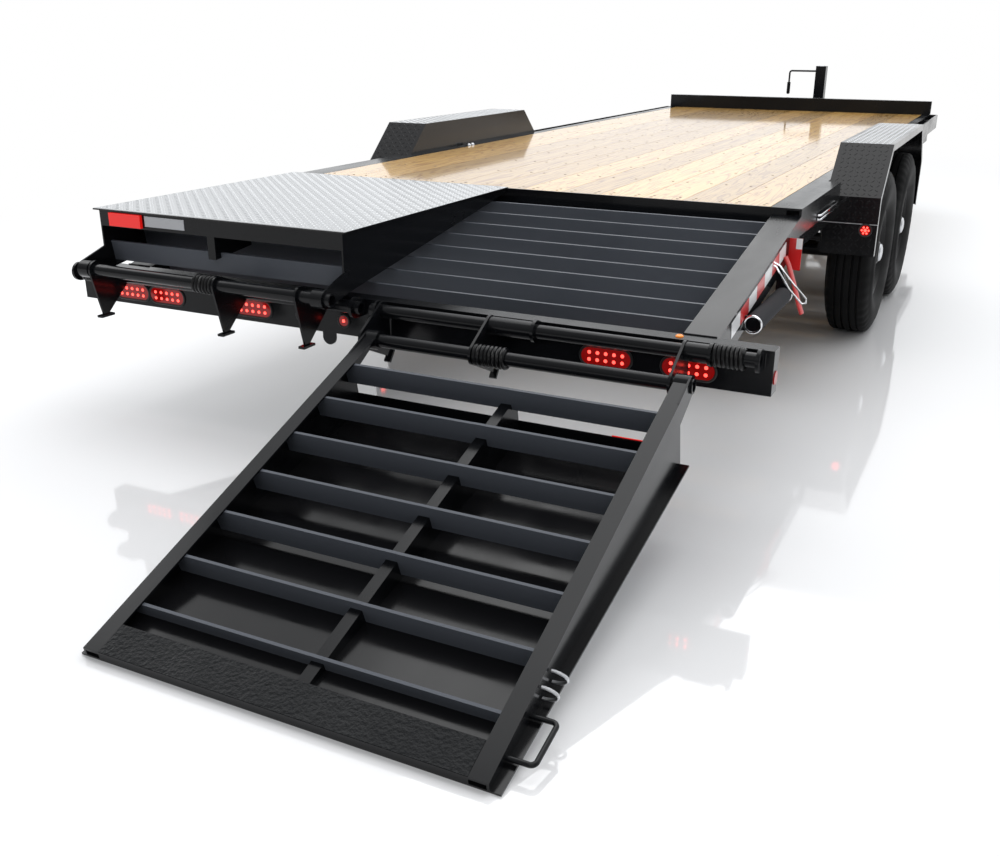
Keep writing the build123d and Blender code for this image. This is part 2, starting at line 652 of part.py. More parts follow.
def ramp_handle():
    """A bent rod near the toe, on the outer side plate."""
    y1 = RAMP_TOE - HANDLE_FROM_TOE
    y0 = y1 - HANDLE_LENGTH
    z = WEDGE_TOP - HANDLE_ROD_R - RAMP_PLATE
    x0, x1 = RAMP_OUT_X, RAMP_OUT_X + HANDLE_REACH
    path = FilletPolyline((x0, y0, z), (x1, y0, z), (x1, y1, z), (x0, y1, z),
                          radius=2 * HANDLE_ROD_R)
    return sweep(Plane(origin=path @ 0, z_dir=path % 0) * Circle(HANDLE_ROD_R), path=path)


def ramp_marker():
    """The lamp on the heel flange."""
    z1 = WEDGE_TOP - (HEEL_FLANGE - MARKER_HEIGHT) / 2
    return box(MARKER_IN_X, MARKER_OUT_X, RAMP_HEEL - MARKER_THICK, RAMP_HEEL,
               z1 - MARKER_HEIGHT, z1)


def ramp_place(shape, name, side):
    """Puts a folded ramp piece where this side's ramp stands."""
    if name == "left":
        return Pos(0, *PIVOT_FOLDED) * sided(shape, side)
    return Pos(0, *PIVOT_OPEN) * Rot(RAMP_TURN, 0, 0) * sided(shape, side)


def link_place(shape, name, side):
    """Puts a folded link piece where this side's link stands."""
    turn = 0 if name == "left" else LINK_TURN
    return Pos(0, UPPER_Y, UPPER_Z) * Rot(turn, 0, 0) * sided(shape, side)


# Running gear

def tyre():
    """The tyre, turned about X at its own middle."""
    half = TYRE_WIDTH / 2
    outline = [(half - BEAD_INSET, RIM_R), (half, RIM_R + 92), (half - 10, TYRE_R - 32),
               (half - 40, TYRE_R)]
    points = outline + [(-x, r) for x, r in reversed(outline)]
    return revolve(make_face(Polyline(*points, close=True)), Axis.X)


def wheel():
    """Rim, disc, hub cap and brake drum, turned about X with the outside at +X."""
    half = TYRE_WIDTH / 2 - BEAD_INSET
    disc_r = RIM_R - DISC_INSET
    drum_r = RIM_R - DRUM_INSET
    outline = [(-half, RIM_R), (half, RIM_R), (half - 30, RIM_R - 26), (10, disc_r), (10, 76),
               (30, 56), (76, 52), (84, 42), (84, 0), (-70, 0), (-70, 56), (-90, 56),
               (-90, drum_r), (-12, drum_r), (-8, disc_r), (half - 46, RIM_R - 26),
               (-half, RIM_R - 14)]
    body = revolve(make_face(Polyline(*outline, close=True)), Axis.X)
    return body - rod_x(0, 0, SPINDLE_R + SPINDLE_GAP, -71, 24)


def axle():
    """A straight tube with spring seats and a spindle in each hub."""
    reach = TRACK_HALF - 76
    body = rod_x(0, 0, AXLE_TUBE_R, -reach, reach)
    body += rod_x(0, 0, SPINDLE_R, -TRACK_HALF - 20, TRACK_HALF + 20)
    for x in (-SPRING_X, SPRING_X):
        body += box(x - LEAF_WIDTH / 2 - 6, x + LEAF_WIDTH / 2 + 6, -50, 50, 0, SEAT_TOP)
    return body


def leaf_spring():
    """Three leaves of one arc family and two eyes, about the axle's middle."""
    rise = SPRING_EYE_Z - TYRE_R - SEAT_TOP - 3 * LEAF_THICK
    body = None
    lengths = (SPRING_HALF_LENGTH, SPRING_HALF_LENGTH * 0.72, SPRING_HALF_LENGTH * 0.45)
    radius = (SPRING_HALF_LENGTH ** 2 + rise ** 2) / (2 * rise)
    for index, half in enumerate(lengths):
        low = SEAT_TOP + (2 - index) * LEAF_THICK
        sag = radius - math.sqrt(radius ** 2 - half ** 2)
        top = low + LEAF_THICK
        outline = Wire([
            ThreePointArc((-half, low + sag), (0, low), (half, low + sag)).edge(),
            Line((half, low + sag), (half, top + sag)).edge(),
            ThreePointArc((half, top + sag), (0, top), (-half, top + sag)).edge(),
            Line((-half, top + sag), (-half, low + sag)).edge()])
        leaf = extrude(Plane.YZ.offset(-LEAF_WIDTH / 2) * Face(outline), LEAF_WIDTH, (1, 0, 0))
        body = leaf if body is None else body + leaf
    for y in (-SPRING_HALF_LENGTH, SPRING_HALF_LENGTH):
        body += rod_x(y, SPRING_EYE_Z - TYRE_R, EYE_R, -EYE_WIDTH / 2, EYE_WIDTH / 2)
    return body


def spring_hanger(y):
    """A folded bracket from the rail to a spring eye."""
    x0, x1 = SPRING_X - EYE_WIDTH / 2, SPRING_X + EYE_WIDTH / 2
    cheeks = None
    for x in (x0 - CROSS_STEEL, x1):
        cheek = plate_x([(y - 55, RAIL_BOTTOM_Z), (y + 55, RAIL_BOTTOM_Z),
                         (y + 24, SPRING_EYE_Z - 24), (y - 24, SPRING_EYE_Z - 24)],
                        x, x + CROSS_STEEL)
        cheeks = cheek if cheeks is None else cheeks + cheek
    cheeks += box(x0, x1, y - 55, y + 55, RAIL_BOTTOM_Z - CROSS_STEEL, RAIL_BOTTOM_Z)
    return cheeks


def equaliser():
    """The rocker between the two springs of one side, with its shackle plates."""
    mid = WHEELBASE_MID_Y
    eye = AXLE_SPACING / 2 - SPRING_HALF_LENGTH
    reach = eye - 22
    x0, x1 = SPRING_X - EYE_WIDTH / 2, SPRING_X + EYE_WIDTH / 2
    body = plate_x([(mid - reach, SPRING_EYE_Z - 14), (mid, SPRING_EYE_Z - 26),
                    (mid + reach, SPRING_EYE_Z - 14), (mid + reach, SPRING_EYE_Z + 14),
                    (mid, SPRING_EYE_Z + 30), (mid - reach, SPRING_EYE_Z + 14)], x0, x1)
    for way in (-1, 1):
        for x in (x0 - CROSS_STEEL, x1):
            body += hull_x(((mid + way * 58, SPRING_EYE_Z, 11),
                            (mid + way * eye, SPRING_EYE_Z, 11)), x, x + CROSS_STEEL)
    return body


# Fenders

def fender_outline(inset):
    """Points of the fender seen from the side, from its rear foot over to its front foot."""
    knee = FENDER_KNEE_Z - inset * 0.42
    run = FENDER_RUN + inset * 0.42
    return [(FENDER_REAR_Y + inset, FENDER_LOW_Z), (FENDER_REAR_Y + inset, knee),
            (FENDER_REAR_Y + run, FENDER_TOP_Z - inset),
            (FENDER_FRONT_Y - run, FENDER_TOP_Z - inset),
            (FENDER_FRONT_Y - inset, knee), (FENDER_FRONT_Y - inset, FENDER_LOW_Z)]


def fender():
    """Bent checkered plate over both wheels, open outward, with an inner wall and a lip."""
    x0, x1 = RAIL_OUT_X, FENDER_OUT_X
    shell = plate_x(fender_outline(0), x0, x1)
    shell -= plate_x(fender_outline(FENDER_PLATE), x0 + FENDER_PLATE, x1 - FENDER_PLATE)
    shell -= plate_x(fender_outline(FENDER_LIP), x1 - FENDER_PLATE, x1)
    shell -= box(x0, x0 + FENDER_PLATE, FENDER_REAR_Y + FENDER_PLATE,
                 FENDER_FRONT_Y - FENDER_PLATE, FENDER_LOW_Z, RAIL_BOTTOM_Z)
    return shell + box(x0, x1, FENDER_REAR_Y - SKIRT_THICK, FENDER_REAR_Y, FENDER_LOW_Z,
                       SKIRT_TOP_Z)


def fender_lamp():
    """The round lamp on the rear panel of the fender."""
    y = FENDER_REAR_Y - SKIRT_THICK - LENS / 2
    return Pos(FENDER_LAMP_X, y, FENDER_LAMP_Z) * Rot(90, 0, 0) * Cylinder(FENDER_LAMP_R, LENS)


# Tongue

def tongue_stretch():
    """Width of a slanted member measured along X, for a width of one."""
    return math.hypot(1, (TONGUE_HALF - TONGUE_NOSE_HALF) / (TONGUE_NOSE_Y - DECK_FRONT_Y))


def tongue_member():
    """One leg of the triangle ahead of the deck."""
    width = TONGUE_FLANGE * tongue_stretch()
    low, high = TONGUE_TOP_Z - TONGUE_HEIGHT, TONGUE_TOP_Z
    outer = [(TONGUE_HALF, DECK_FRONT_Y), (TONGUE_NOSE_HALF + width, TONGUE_NOSE_Y),
             (TONGUE_NOSE_HALF, TONGUE_NOSE_Y), (TONGUE_HALF - width, DECK_FRONT_Y)]
    inner = [(outer[0][0] - STEEL, DECK_FRONT_Y - 1),
             (outer[1][0] - STEEL, TONGUE_NOSE_Y + 1),
             (outer[2][0] - TONGUE_FLANGE, TONGUE_NOSE_Y + 1),
             (outer[3][0] - TONGUE_FLANGE, DECK_FRONT_Y - 1)]
    return plate_z(outer, low, high) - plate_z(inner, low + STEEL, high - STEEL)


def coupler():
    """The nose plate, the shank and the head with its ball socket."""
    low, high = TONGUE_TOP_Z - TONGUE_HEIGHT, TONGUE_TOP_Z
    y0 = TONGUE_NOSE_Y
    y1 = COUPLER_NOSE_Y - HEAD_R
    socket_low = high - HEAD_DROP
    body = box(-TONGUE_NOSE_HALF - TONGUE_FLANGE, TONGUE_NOSE_HALF + TONGUE_FLANGE,
               y0, y0 + FOOT_PLATE, low, high)
    shank = plate_x([(y0 + FOOT_PLATE, low + STEEL), (y0 + FOOT_PLATE, high),
                     (y1, high - HEAD_DROP / 4), (y1, socket_low + HEAD_DROP / 8)],
                    2 * STEEL - HEAD_R, HEAD_R - 2 * STEEL)
    head = Pos(0, y1, high - HEAD_DROP / 4 - (HEAD_DROP * 3 / 4) / 2) \
        * Cylinder(HEAD_R, HEAD_DROP * 3 / 4)
    socket = Pos(0, y1, socket_low + BALL_SOCKET_LENGTH / 2) \
        * Cylinder(BALL_SOCKET_R, BALL_SOCKET_LENGTH)
    return body + shank + head - socket


def jack_tube():
    """The jack's square outer tube, through the plate that it is welded to."""
    body = box(-JACK_HALF, JACK_HALF, JACK_Y - JACK_HALF, JACK_Y + JACK_HALF,
               JACK_LOW_Z, JACK_TOP_Z)
    half = JACK_HALF - JACK_WALL
    body -= box(-half, half, JACK_Y - half, JACK_Y + half, JACK_LOW_Z, JACK_TOP_Z - JACK_WALL)
    reach = tongue_inner_x(JACK_Y) + TONGUE_FLANGE / 2
    plate = box(-reach, reach, JACK_Y - JACK_PLATE_HALF, JACK_Y + JACK_PLATE_HALF,
                TONGUE_TOP_Z, TONGUE_TOP_Z + STEEL)
    hole = box(-JACK_HALF, JACK_HALF, JACK_Y - JACK_HALF, JACK_Y + JACK_HALF,
               TONGUE_TOP_Z, TONGUE_TOP_Z + STEEL)
    return body + (plate - hole)


def jack_crank():
    """The bent crank on the jack's side."""
    x0 = -JACK_HALF
    x1 = x0 - CRANK_REACH
    z = JACK_TOP_Z - CRANK_DROP
    path = FilletPolyline((x0, JACK_Y, z), (x1, JACK_Y, z), (x1, JACK_Y, z - CRANK_HANDLE),
                          radius=2.5 * CRANK_R)
    return sweep(Plane(origin=path @ 0, z_dir=path % 0) * Circle(CRANK_R), path=path)


def jack_leg():
    """The jack's inner leg and foot, down on the ground."""
    half = JACK_HALF - JACK_WALL
    leg = box(-half, half, JACK_Y - half, JACK_Y + half, FOOT_PLATE, JACK_LOW_Z + JACK_OVERLAP)
    return leg + box(-FOOT_HALF_WIDTH, FOOT_HALF_WIDTH, JACK_Y - FOOT_HALF_LENGTH,
                     JACK_Y + FOOT_HALF_LENGTH, 0, FOOT_PLATE)


def tongue_inner_x(y):
    """How far the inner edge of a tongue member's flanges stands from the middle."""
    share = (TONGUE_NOSE_Y - y) / (TONGUE_NOSE_Y - DECK_FRONT_Y)
    width = TONGUE_FLANGE * tongue_stretch()
    return TONGUE_NOSE_HALF + share * (TONGUE_HALF - width - TONGUE_NOSE_HALF)


def strap_bar():
    """A round bar with an eye at each end, on brackets beside the dovetail."""
    y0 = STRAP_BAR_REAR_Y
    y1 = y0 + STRAP_BAR_LENGTH
    x, z = STRAP_BAR_X, STRAP_BAR_Z
    body = Pos(x, (y0 + y1) / 2, z) * Rot(90, 0, 0) * Cylinder(STRAP_BAR_R, y1 - y0)
    for y in (y0, y1 - STEEL):
        body += Pos(x, y + STEEL / 2, z) * Rot(90, 0, 0) * Cylinder(STRAP_EYE_R, STEEL)
        seat = dove_z(y) - DOVE_RAIL_DEPTH
        body += plate_y([(RUB_OUT_X, z - STRAP_BAR_R), (x, z - STRAP_EYE_R),
                         (x + STRAP_EYE_R, z), (RUB_OUT_X + STEEL, seat + DOVE_RAIL_DEPTH / 2),
                         (RUB_OUT_X, seat + DOVE_RAIL_DEPTH / 2)], y, y + STEEL)
    return body


def build():
    """Builds and writes every piece."""
    os.makedirs("parts", exist_ok=True)
    save("cross_members", *cross_members(), *end_members())
    save("deck_planks", *deck_planks())
    save("front_stop_rail", front_stop())
    save("dovetail_cleats", *dovetail_cleats())
    save("dovetail_stringers", *dovetail_stringers())
    save("rear_beam", rear_beam())
    save("tail_lamps", *beam_lamps(), *both_sides(end_lamp(), fender_lamp()))
    save("strap_bar", strap_bar())
    save("coupler", coupler())
    save("jack_tube", jack_tube())
    save("jack_crank", jack_crank())
    save("jack_leg", jack_leg())
    save("equalisers", *both_sides(equaliser()))
    save("spring_hangers", *both_sides(spring_hanger(AXLE_Y - SPRING_HALF_LENGTH),
                                       spring_hanger(WHEELBASE_MID_Y),
                                       spring_hanger(AXLE_FRONT_Y + SPRING_HALF_LENGTH)))
    save("leaf_springs", *both_sides(*[Pos(SPRING_X, y, TYRE_R) * leaf_spring()
                                       for y in (AXLE_Y, AXLE_FRONT_Y)]))
    save("axle_rear", Pos(0, AXLE_Y, TYRE_R) * axle())
    save("axle_front", Pos(0, AXLE_FRONT_Y, TYRE_R) * axle())
    for name, side in SIDES:
        save("frame_rail_" + name, sided(frame_rail(), side))
        save("rub_rail_" + name, *[sided(piece, side)
                                   for piece in (rub_rail_rear(), rub_rail_front())])
        save("stake_pockets_" + name, *[sided(piece, side) for piece in stake_pockets()])
        save("dovetail_side_" + name, sided(dovetail_side(), side))
        save("ramp_carrier_" + name, sided(ramp_carrier(name), side))
        save("tongue_" + name, sided(tongue_member(), side))
        save("fender_" + name, sided(fender(), side))
        save("link_" + name, link_place(link(name), name, side))
        save("ramp_sides_" + name, *[ramp_place(rail, name, side) for rail in ramp_sides()])
        save("ramp_spine_" + name, ramp_place(ramp_spine(), name, side))
        save("ramp_cleats_" + name, *[ramp_place(bar, name, side) for bar in ramp_cleats()])
        save("ramp_tread_" + name, ramp_place(tread_plate(), name, side))
        save("ramp_marker_" + name, ramp_place(ramp_marker(), name, side))
        save("ramp_handle_" + name, ramp_place(ramp_handle(), name, side))
        for end, y in (("rear", AXLE_Y), ("front", AXLE_FRONT_Y)):
            place = Pos(TRACK_HALF, y, TYRE_R)
            save("tyre_" + end + "_" + name, sided(place * tyre(), side))
            save("wheel_" + end + "_" + name, sided(place * wheel(), side))


if __name__ == "__main__":
    build()
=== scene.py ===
import json
import math

import bpy
from mathutils import Matrix, Vector

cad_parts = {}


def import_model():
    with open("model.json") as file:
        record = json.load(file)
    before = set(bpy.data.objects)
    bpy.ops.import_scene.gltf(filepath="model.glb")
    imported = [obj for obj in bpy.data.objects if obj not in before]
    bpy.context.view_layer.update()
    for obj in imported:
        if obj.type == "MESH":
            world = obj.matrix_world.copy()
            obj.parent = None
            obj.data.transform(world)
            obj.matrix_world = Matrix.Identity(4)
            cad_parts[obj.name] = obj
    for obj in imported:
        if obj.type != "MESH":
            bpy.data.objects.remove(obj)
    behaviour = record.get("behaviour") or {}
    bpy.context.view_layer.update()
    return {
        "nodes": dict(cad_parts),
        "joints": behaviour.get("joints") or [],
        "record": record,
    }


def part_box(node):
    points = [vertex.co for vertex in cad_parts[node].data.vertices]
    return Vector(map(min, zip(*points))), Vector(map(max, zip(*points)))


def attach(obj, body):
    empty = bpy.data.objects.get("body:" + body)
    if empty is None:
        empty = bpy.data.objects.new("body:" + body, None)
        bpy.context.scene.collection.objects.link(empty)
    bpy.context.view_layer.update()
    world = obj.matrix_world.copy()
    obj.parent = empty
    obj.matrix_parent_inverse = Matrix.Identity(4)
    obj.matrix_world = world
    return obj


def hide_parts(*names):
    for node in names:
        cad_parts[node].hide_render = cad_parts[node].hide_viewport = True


# Looks of a car transport trailer, in metres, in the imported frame: X right seen from behind,
# Y forward, Z up, with the ground at zero.

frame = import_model()
scene = bpy.context.scene

SIDES = (("left", -1), ("right", 1))

# Camera and lens of the photograph
CAMERA_PLACE = Vector((1.8332, -6.1728, 1.3396))
CAMERA_AZIMUTH = math.radians(26.25)
CAMERA_ELEVATION = math.radians(20.69)
CAMERA_ROLL = math.radians(0.19)
CAMERA_LENS = 37.555

# Sizes taken from the frame
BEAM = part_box("rear_beam")
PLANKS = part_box("deck_planks")
BEAM_REAR_Y = BEAM[0].y
DECK_Z = PLANKS[1].z
DECK_REAR_Y = PLANKS[0].y
DECK_STEP = 0.026
PLANK_COUNT = 12
PLANK_PITCH = (PLANKS[1].x - PLANKS[0].x + 0.002) / PLANK_COUNT
JOINTS = {joint["name"]: joint for joint in frame["joints"]}


def from_beam(y):
    """The frame's Y of a distance ahead of the rear beam's rear face."""
    return BEAM_REAR_Y + y


# Materials

def material(name):
    """A new material with its shader, its nodes and its links."""
    made = bpy.data.materials.new(name)
    made.use_nodes = True
    tree = made.node_tree
    return made, tree.nodes["Principled BSDF"], tree.nodes, tree.links


def plain(name, colour, roughness, metallic=0.0, coat=0.0):
    """A material that is the same all over."""
    made, shader, _, _ = material(name)
    shader.inputs["Base Color"].default_value = (*colour, 1)
    shader.inputs["Roughness"].default_value = roughness
    shader.inputs["Metallic"].default_value = metallic
    shader.inputs["Coat Weight"].default_value = coat
    shader.inputs["Coat Roughness"].default_value = 0.08
    return made


def noise(nodes, links, scale, detail, stretch=(1, 1, 1)):
    """A noise texture over the row frame, stretched along the axes."""
    place = nodes.new("ShaderNodeTexCoord")
    mapping = nodes.new("ShaderNodeMapping")
    mapping.inputs["Scale"].default_value = stretch
    texture = nodes.new("ShaderNodeTexNoise")
    texture.inputs["Scale"].default_value = scale
    texture.inputs["Detail"].default_value = detail
    links.new(place.outputs["Object"], mapping.inputs["Vector"])
    links.new(mapping.outputs["Vector"], texture.inputs["Vector"])
    return texture


def spread(nodes, links, source, low, high):
    """Maps a texture's grey, from 0.3 to 0.7, to a range."""
    ranged = nodes.new("ShaderNodeMapRange")
    ranged.inputs["From Min"].default_value = 0.3
    ranged.inputs["From Max"].default_value = 0.7
    ranged.inputs["To Min"].default_value = low
    ranged.inputs["To Max"].default_value = high
    links.new(source, ranged.inputs["Value"])
    return ranged.outputs["Result"]


def bump(nodes, links, shader, height, strength, distance):
    """Presses a height into a shader's normal."""
    node = nodes.new("ShaderNodeBump")
    node.inputs["Strength"].default_value = strength
    node.inputs["Distance"].default_value = distance
    links.new(height, node.inputs["Height"])
    links.new(node.outputs["Normal"], shader.inputs["Normal"])


def painted(name, colour, smooth, rough, peel, shine=0.24, grain=420, depth=0.0006):
    """Powder coat: a dark gloss with a fine orange peel and dusty patches."""
    made, shader, nodes, links = material(name)
    shader.inputs["Base Color"].default_value = (*colour, 1)
    shader.inputs["Specular IOR Level"].default_value = shine
    dust = noise(nodes, links, 7, 6, (1, 0.35, 1))
    links.new(spread(nodes, links, dust.outputs["Fac"], smooth, rough), shader.inputs["Roughness"])
    fine = noise(nodes, links, grain, 2)
    bump(nodes, links, shader, fine.outputs["Fac"], peel, depth)
    return made


def pine():
    """Clear-coated boards: each with its own tone, grain along Y and a few knots."""
    made, shader, nodes, links = material("pine")
    place = nodes.new("ShaderNodeTexCoord")
    split = nodes.new("ShaderNodeSeparateXYZ")
    links.new(place.outputs["Object"], split.inputs["Vector"])
    board = nodes.new("ShaderNodeMath")
    board.operation = "DIVIDE"
    board.inputs[1].default_value = PLANK_PITCH
    links.new(split.outputs["X"], board.inputs[0])
    number = nodes.new("ShaderNodeMath")
    number.operation = "FLOOR"
    links.new(board.outputs["Value"], number.inputs[0])
    tone = nodes.new("ShaderNodeTexWhiteNoise")
    tone.noise_dimensions = "1D"
    links.new(number.outputs["Value"], tone.inputs["W"])
    shift = nodes.new("ShaderNodeVectorMath")
    shift.operation = "MULTIPLY_ADD"
    shift.inputs[1].default_value = (9, 9, 9)
    links.new(tone.outputs["Color"], shift.inputs[0])
    links.new(place.outputs["Object"], shift.inputs[2])

    def grain(scale, detail, stretch, distortion):
        mapping = nodes.new("ShaderNodeMapping")
        mapping.inputs["Scale"].default_value = stretch
        texture = nodes.new("ShaderNodeTexNoise")
        texture.inputs["Scale"].default_value = scale
        texture.inputs["Detail"].default_value = detail
        texture.inputs["Distortion"].default_value = distortion
        links.new(shift.outputs["Vector"], mapping.inputs["Vector"])
        links.new(mapping.outputs["Vector"], texture.inputs["Vector"])
        return texture.outputs["Fac"]

    figure = grain(9, 3, (1, 0.06, 1), 1.6)
    rings = nodes.new("ShaderNodeMath")
    rings.operation = "PINGPONG"
    rings.inputs[1].default_value = 0.045
    links.new(figure, rings.inputs[0])
    ramp = nodes.new("ShaderNodeValToRGB")
    ramp.color_ramp.elements[0].color = (0.5, 0.235, 0.055, 1)
    ramp.color_ramp.elements[1].color = (0.88, 0.54, 0.17, 1)
    ramp.color_ramp.elements[1].position = 0.45
    scaled = nodes.new("ShaderNodeMath")
    scaled.operation = "MULTIPLY"
    scaled.inputs[1].default_value = 22
    links.new(rings.outputs["Value"], scaled.inputs[0])
    links.new(scaled.outputs["Value"], ramp.inputs["Fac"])
    fibres = nodes.new("ShaderNodeMixRGB")
    fibres.blend_type = "MULTIPLY"
    fibres.inputs["Fac"].default_value = 0.5
    links.new(ramp.outputs["Color"], fibres.inputs["Color1"])
    streak = spread(nodes, links, grain(130, 2, (1, 0.02, 1), 0), 0.62, 1.1)
    links.new(streak, fibres.inputs["Color2"])
    toned = nodes.new("ShaderNodeHueSaturation")
    value = spread(nodes, links, tone.outputs["Value"], 0.68, 1.1)
    links.new(value, toned.inputs["Value"])
    links.new(fibres.outputs["Color"], toned.inputs["Color"])

    cells = nodes.new("ShaderNodeTexVoronoi")
    cells.inputs["Scale"].default_value = 1.0
    stretch = nodes.new("ShaderNodeMapping")
    stretch.inputs["Scale"].default_value = (5.0, 1.3, 1)
    links.new(shift.outputs["Vector"], stretch.inputs["Vector"])
    links.new(stretch.outputs["Vector"], cells.inputs["Vector"])
    knot = nodes.new("ShaderNodeMapRange")
    knot.inputs["From Min"].default_value = 0.045
    knot.inputs["From Max"].default_value = 0.085
    links.new(cells.outputs["Distance"], knot.inputs["Value"])
    knotted = nodes.new("ShaderNodeMixRGB")
    knotted.inputs["Color1"].default_value = (0.16, 0.055, 0.015, 1)
    links.new(knot.outputs["Result"], knotted.inputs["Fac"])
    links.new(toned.outputs["Color"], knotted.inputs["Color2"])
    links.new(knotted.outputs["Color"], shader.inputs["Base Color"])
    shader.inputs["Roughness"].default_value = 0.3
    shader.inputs["Specular IOR Level"].default_value = 0.15
    shader.inputs["Coat Weight"].default_value = 0.85
    shader.inputs["Coat Roughness"].default_value = 0.07
    bump(nodes, links, shader, streak, 0.08, 0.001)
    return made


def lens(name, colour, light_colour, glow):
    """A lit lens, also used for a glowing painted glint."""
    made, shader, _, _ = material(name)
    shader.inputs["Base Color"].default_value = (*colour, 1)
    shader.inputs["Roughness"].default_value = 0.1
    shader.inputs["Emission Color"].default_value = (*light_colour, 1)
    shader.inputs["Emission Strength"].default_value = glow
    return made


BLACK = painted("black_paint", (0.0045, 0.0049, 0.006), 0.12, 0.28, 0.06)
# The black paint made grey for the cleats, whose faces catch the light: a painted lit copy of the black
# paint.
CLEAT_PAINTED_LIGHT = painted("cleat_painted_light", (0.088, 0.097, 0.115), 0.38, 0.5, 0.08)
TREAD_BLACK = painted("tread_plate", (0.006, 0.006, 0.0068), 0.1, 0.22, 0.05, shine=0.3)
# Bright metal that stands in for the sky's sheen on the black tread paint of the ramp and fender tops: a
# painted sheen.
TREAD_PAINTED_SHEEN = plain("tread_painted_sheen", (0.46, 0.47, 0.48), 0.2, metallic=1.0)
SPRING_BLACK = painted("spring_steel", (0.006, 0.006, 0.0065), 0.25, 0.4, 0.1)
RIM_BLACK = painted("rim", (0.006, 0.006, 0.0065), 0.2, 0.35, 0.05)
RUBBER = painted("tyre", (0.003, 0.003, 0.0033), 0.55, 0.75, 0.2, shine=0.15)
GRIT = painted("toe_grip", (0.006, 0.0068, 0.008), 0.45, 0.65, 0.9, shine=0.2, grain=110, depth=0.006)
PINE = pine()
ZINC = plain("galvanised", (0.62, 0.63, 0.65), 0.32, metallic=1.0)
CHROME = plain("bright_steel", (0.83, 0.84, 0.86), 0.14, metallic=1.0)
SCREW = plain("deck_screw", (0.16, 0.12, 0.08), 0.45, metallic=0.8)
GASKET = plain("lamp_gasket", (0.01, 0.01, 0.01), 0.5)
RED_LENS = lens("red_lens", (0.1, 0.001, 0.001), (1.0, 0.01, 0.008), 0.16)
MARKER_LENS = lens("marker_lens", (0.6, 0.006, 0.005), (1.0, 0.012, 0.008), 0.35)
# A glowing amber that stands in for a glint on the beam's top flange: a painted glint, no lamp.
AMBER_PAINTED_GLINT = lens("amber_painted_glint", (0.7, 0.2, 0.01), (1.0, 0.3, 0.02), 0.4)
LED = lens("led", (1.0, 0.03, 0.02), (1.0, 0.06, 0.045), 4.0)
RED_TAPE = plain("red_tape", (0.62, 0.012, 0.012), 0.3, coat=0.4)
WHITE_TAPE = plain("white_tape", (0.8, 0.81, 0.82), 0.3, coat=0.4)
GREY_STRIP = plain("grey_strip", (0.42, 0.43, 0.45), 0.35, coat=0.3)
RED_LEVER = plain("red_lever", (0.55, 0.01, 0.008), 0.35, coat=0.3)
WEBBING = plain("webbing", (0.05, 0.05, 0.055), 0.85)

FINISHES = {
    "black_paint": BLACK, "pine": PINE, "red_lens": RED_LENS, "tread_plate": TREAD_BLACK,
    "spring_steel": SPRING_BLACK, "tyre": RUBBER, "rim": RIM_BLACK, "galvanised": ZINC,
}


def paint_frame():
    """Gives every CAD piece its finish, by its slot in the record."""
    for part in frame["record"]["subparts"]:
        mesh = frame["nodes"][part["node"]].data
        mesh.materials.clear()
        finish = FINISHES[part["material_slot"]]
        if part["node"].startswith("ramp_marker"):
            finish = MARKER_LENS
        # The cleats get the grey, painted lit copy of the black paint.
        if "cleats" in part["node"]:
            finish = CLEAT_PAINTED_LIGHT
        mesh.materials.append(finish)


# Shapes, each as (points, faces)

def joined(shapes):
    """Several shapes as one."""
    points, faces = [], []
    for some_points, some_faces in shapes:
        start = len(points)
        points += some_points
        faces += [tuple(start + index for index in face) for face in some_faces]
    return points, faces


def moved(shape, matrix):
    """A shape after a transform."""
    points, faces = shape
    return [matrix @ Vector(point) for point in points], faces


def span_x(side, x0, x1):
    """Two distances from the middle as X values on one side, the smaller first."""
    return sorted((side * x0, side * x1))


def circle(radius, steps):
    """Pairs of distances, level and upright, round a circle."""
    angles = (2 * math.pi * step / steps for step in range(steps))
    return [(radius * math.cos(a), radius * math.sin(a)) for a in angles]


def block(x0, x1, y0, y1, z0, z1):
    """A block between two corners."""
    points = [(x, y, z) for x in (x0, x1) for y in (y0, y1) for z in (z0, z1)]
    faces = [(0, 1, 3, 2), (4, 6, 7, 5), (0, 4, 5, 1), (2, 3, 7, 6), (0, 2, 6, 4), (1, 5, 7, 3)]
    return points, faces


def tube(path, radius, sides=12, closed=False):
    """A round bar along a path of points."""
    path = [Vector(point) for point in path]
    count = len(path)
    points, faces = [], []
    across = None
    for index, point in enumerate(path):
        before = path[index - 1] if index or closed else point
        after = path[(index + 1) % count] if index < count - 1 or closed else point
        along = (after - before).normalized()
        if across is None:
            across = along.orthogonal().normalized()
        across = (across - along * across.dot(along)).normalized()
        other = along.cross(across)
        for side in range(sides):
            a = 2 * math.pi * side / sides
            points.append(point + radius * (math.cos(a) * across + math.sin(a) * other))
    for ring in range(count if closed else count - 1):
        this, following = ring * sides, ((ring + 1) % count) * sides
        for side in range(sides):
            beside = (side + 1) % sides
            faces.append((this + side, this + beside, following + beside, following + side))
    if not closed:
        faces.append(tuple(reversed(range(sides))))
        faces.append(tuple((count - 1) * sides + side for side in range(sides)))
    return points, faces


def turned_x(profile, sides, place):
    """A closed profile of (x, radius) points turned about X."""
    points, faces = [], []
    count = len(profile)
    for side in range(sides):
        a = 2 * math.pi * side / sides
        for x, radius in profile:
            out, up = radius * math.cos(a), radius * math.sin(a)
            points.append((place[0] + x, place[1] + out, place[2] + up))
    for side in range(sides):
        this, following = side * count, ((side + 1) % sides) * count
        for index in range(count):
            beside = (index + 1) % count
            faces.append((this + index, following + index, following + beside, this + beside))
    return points, faces


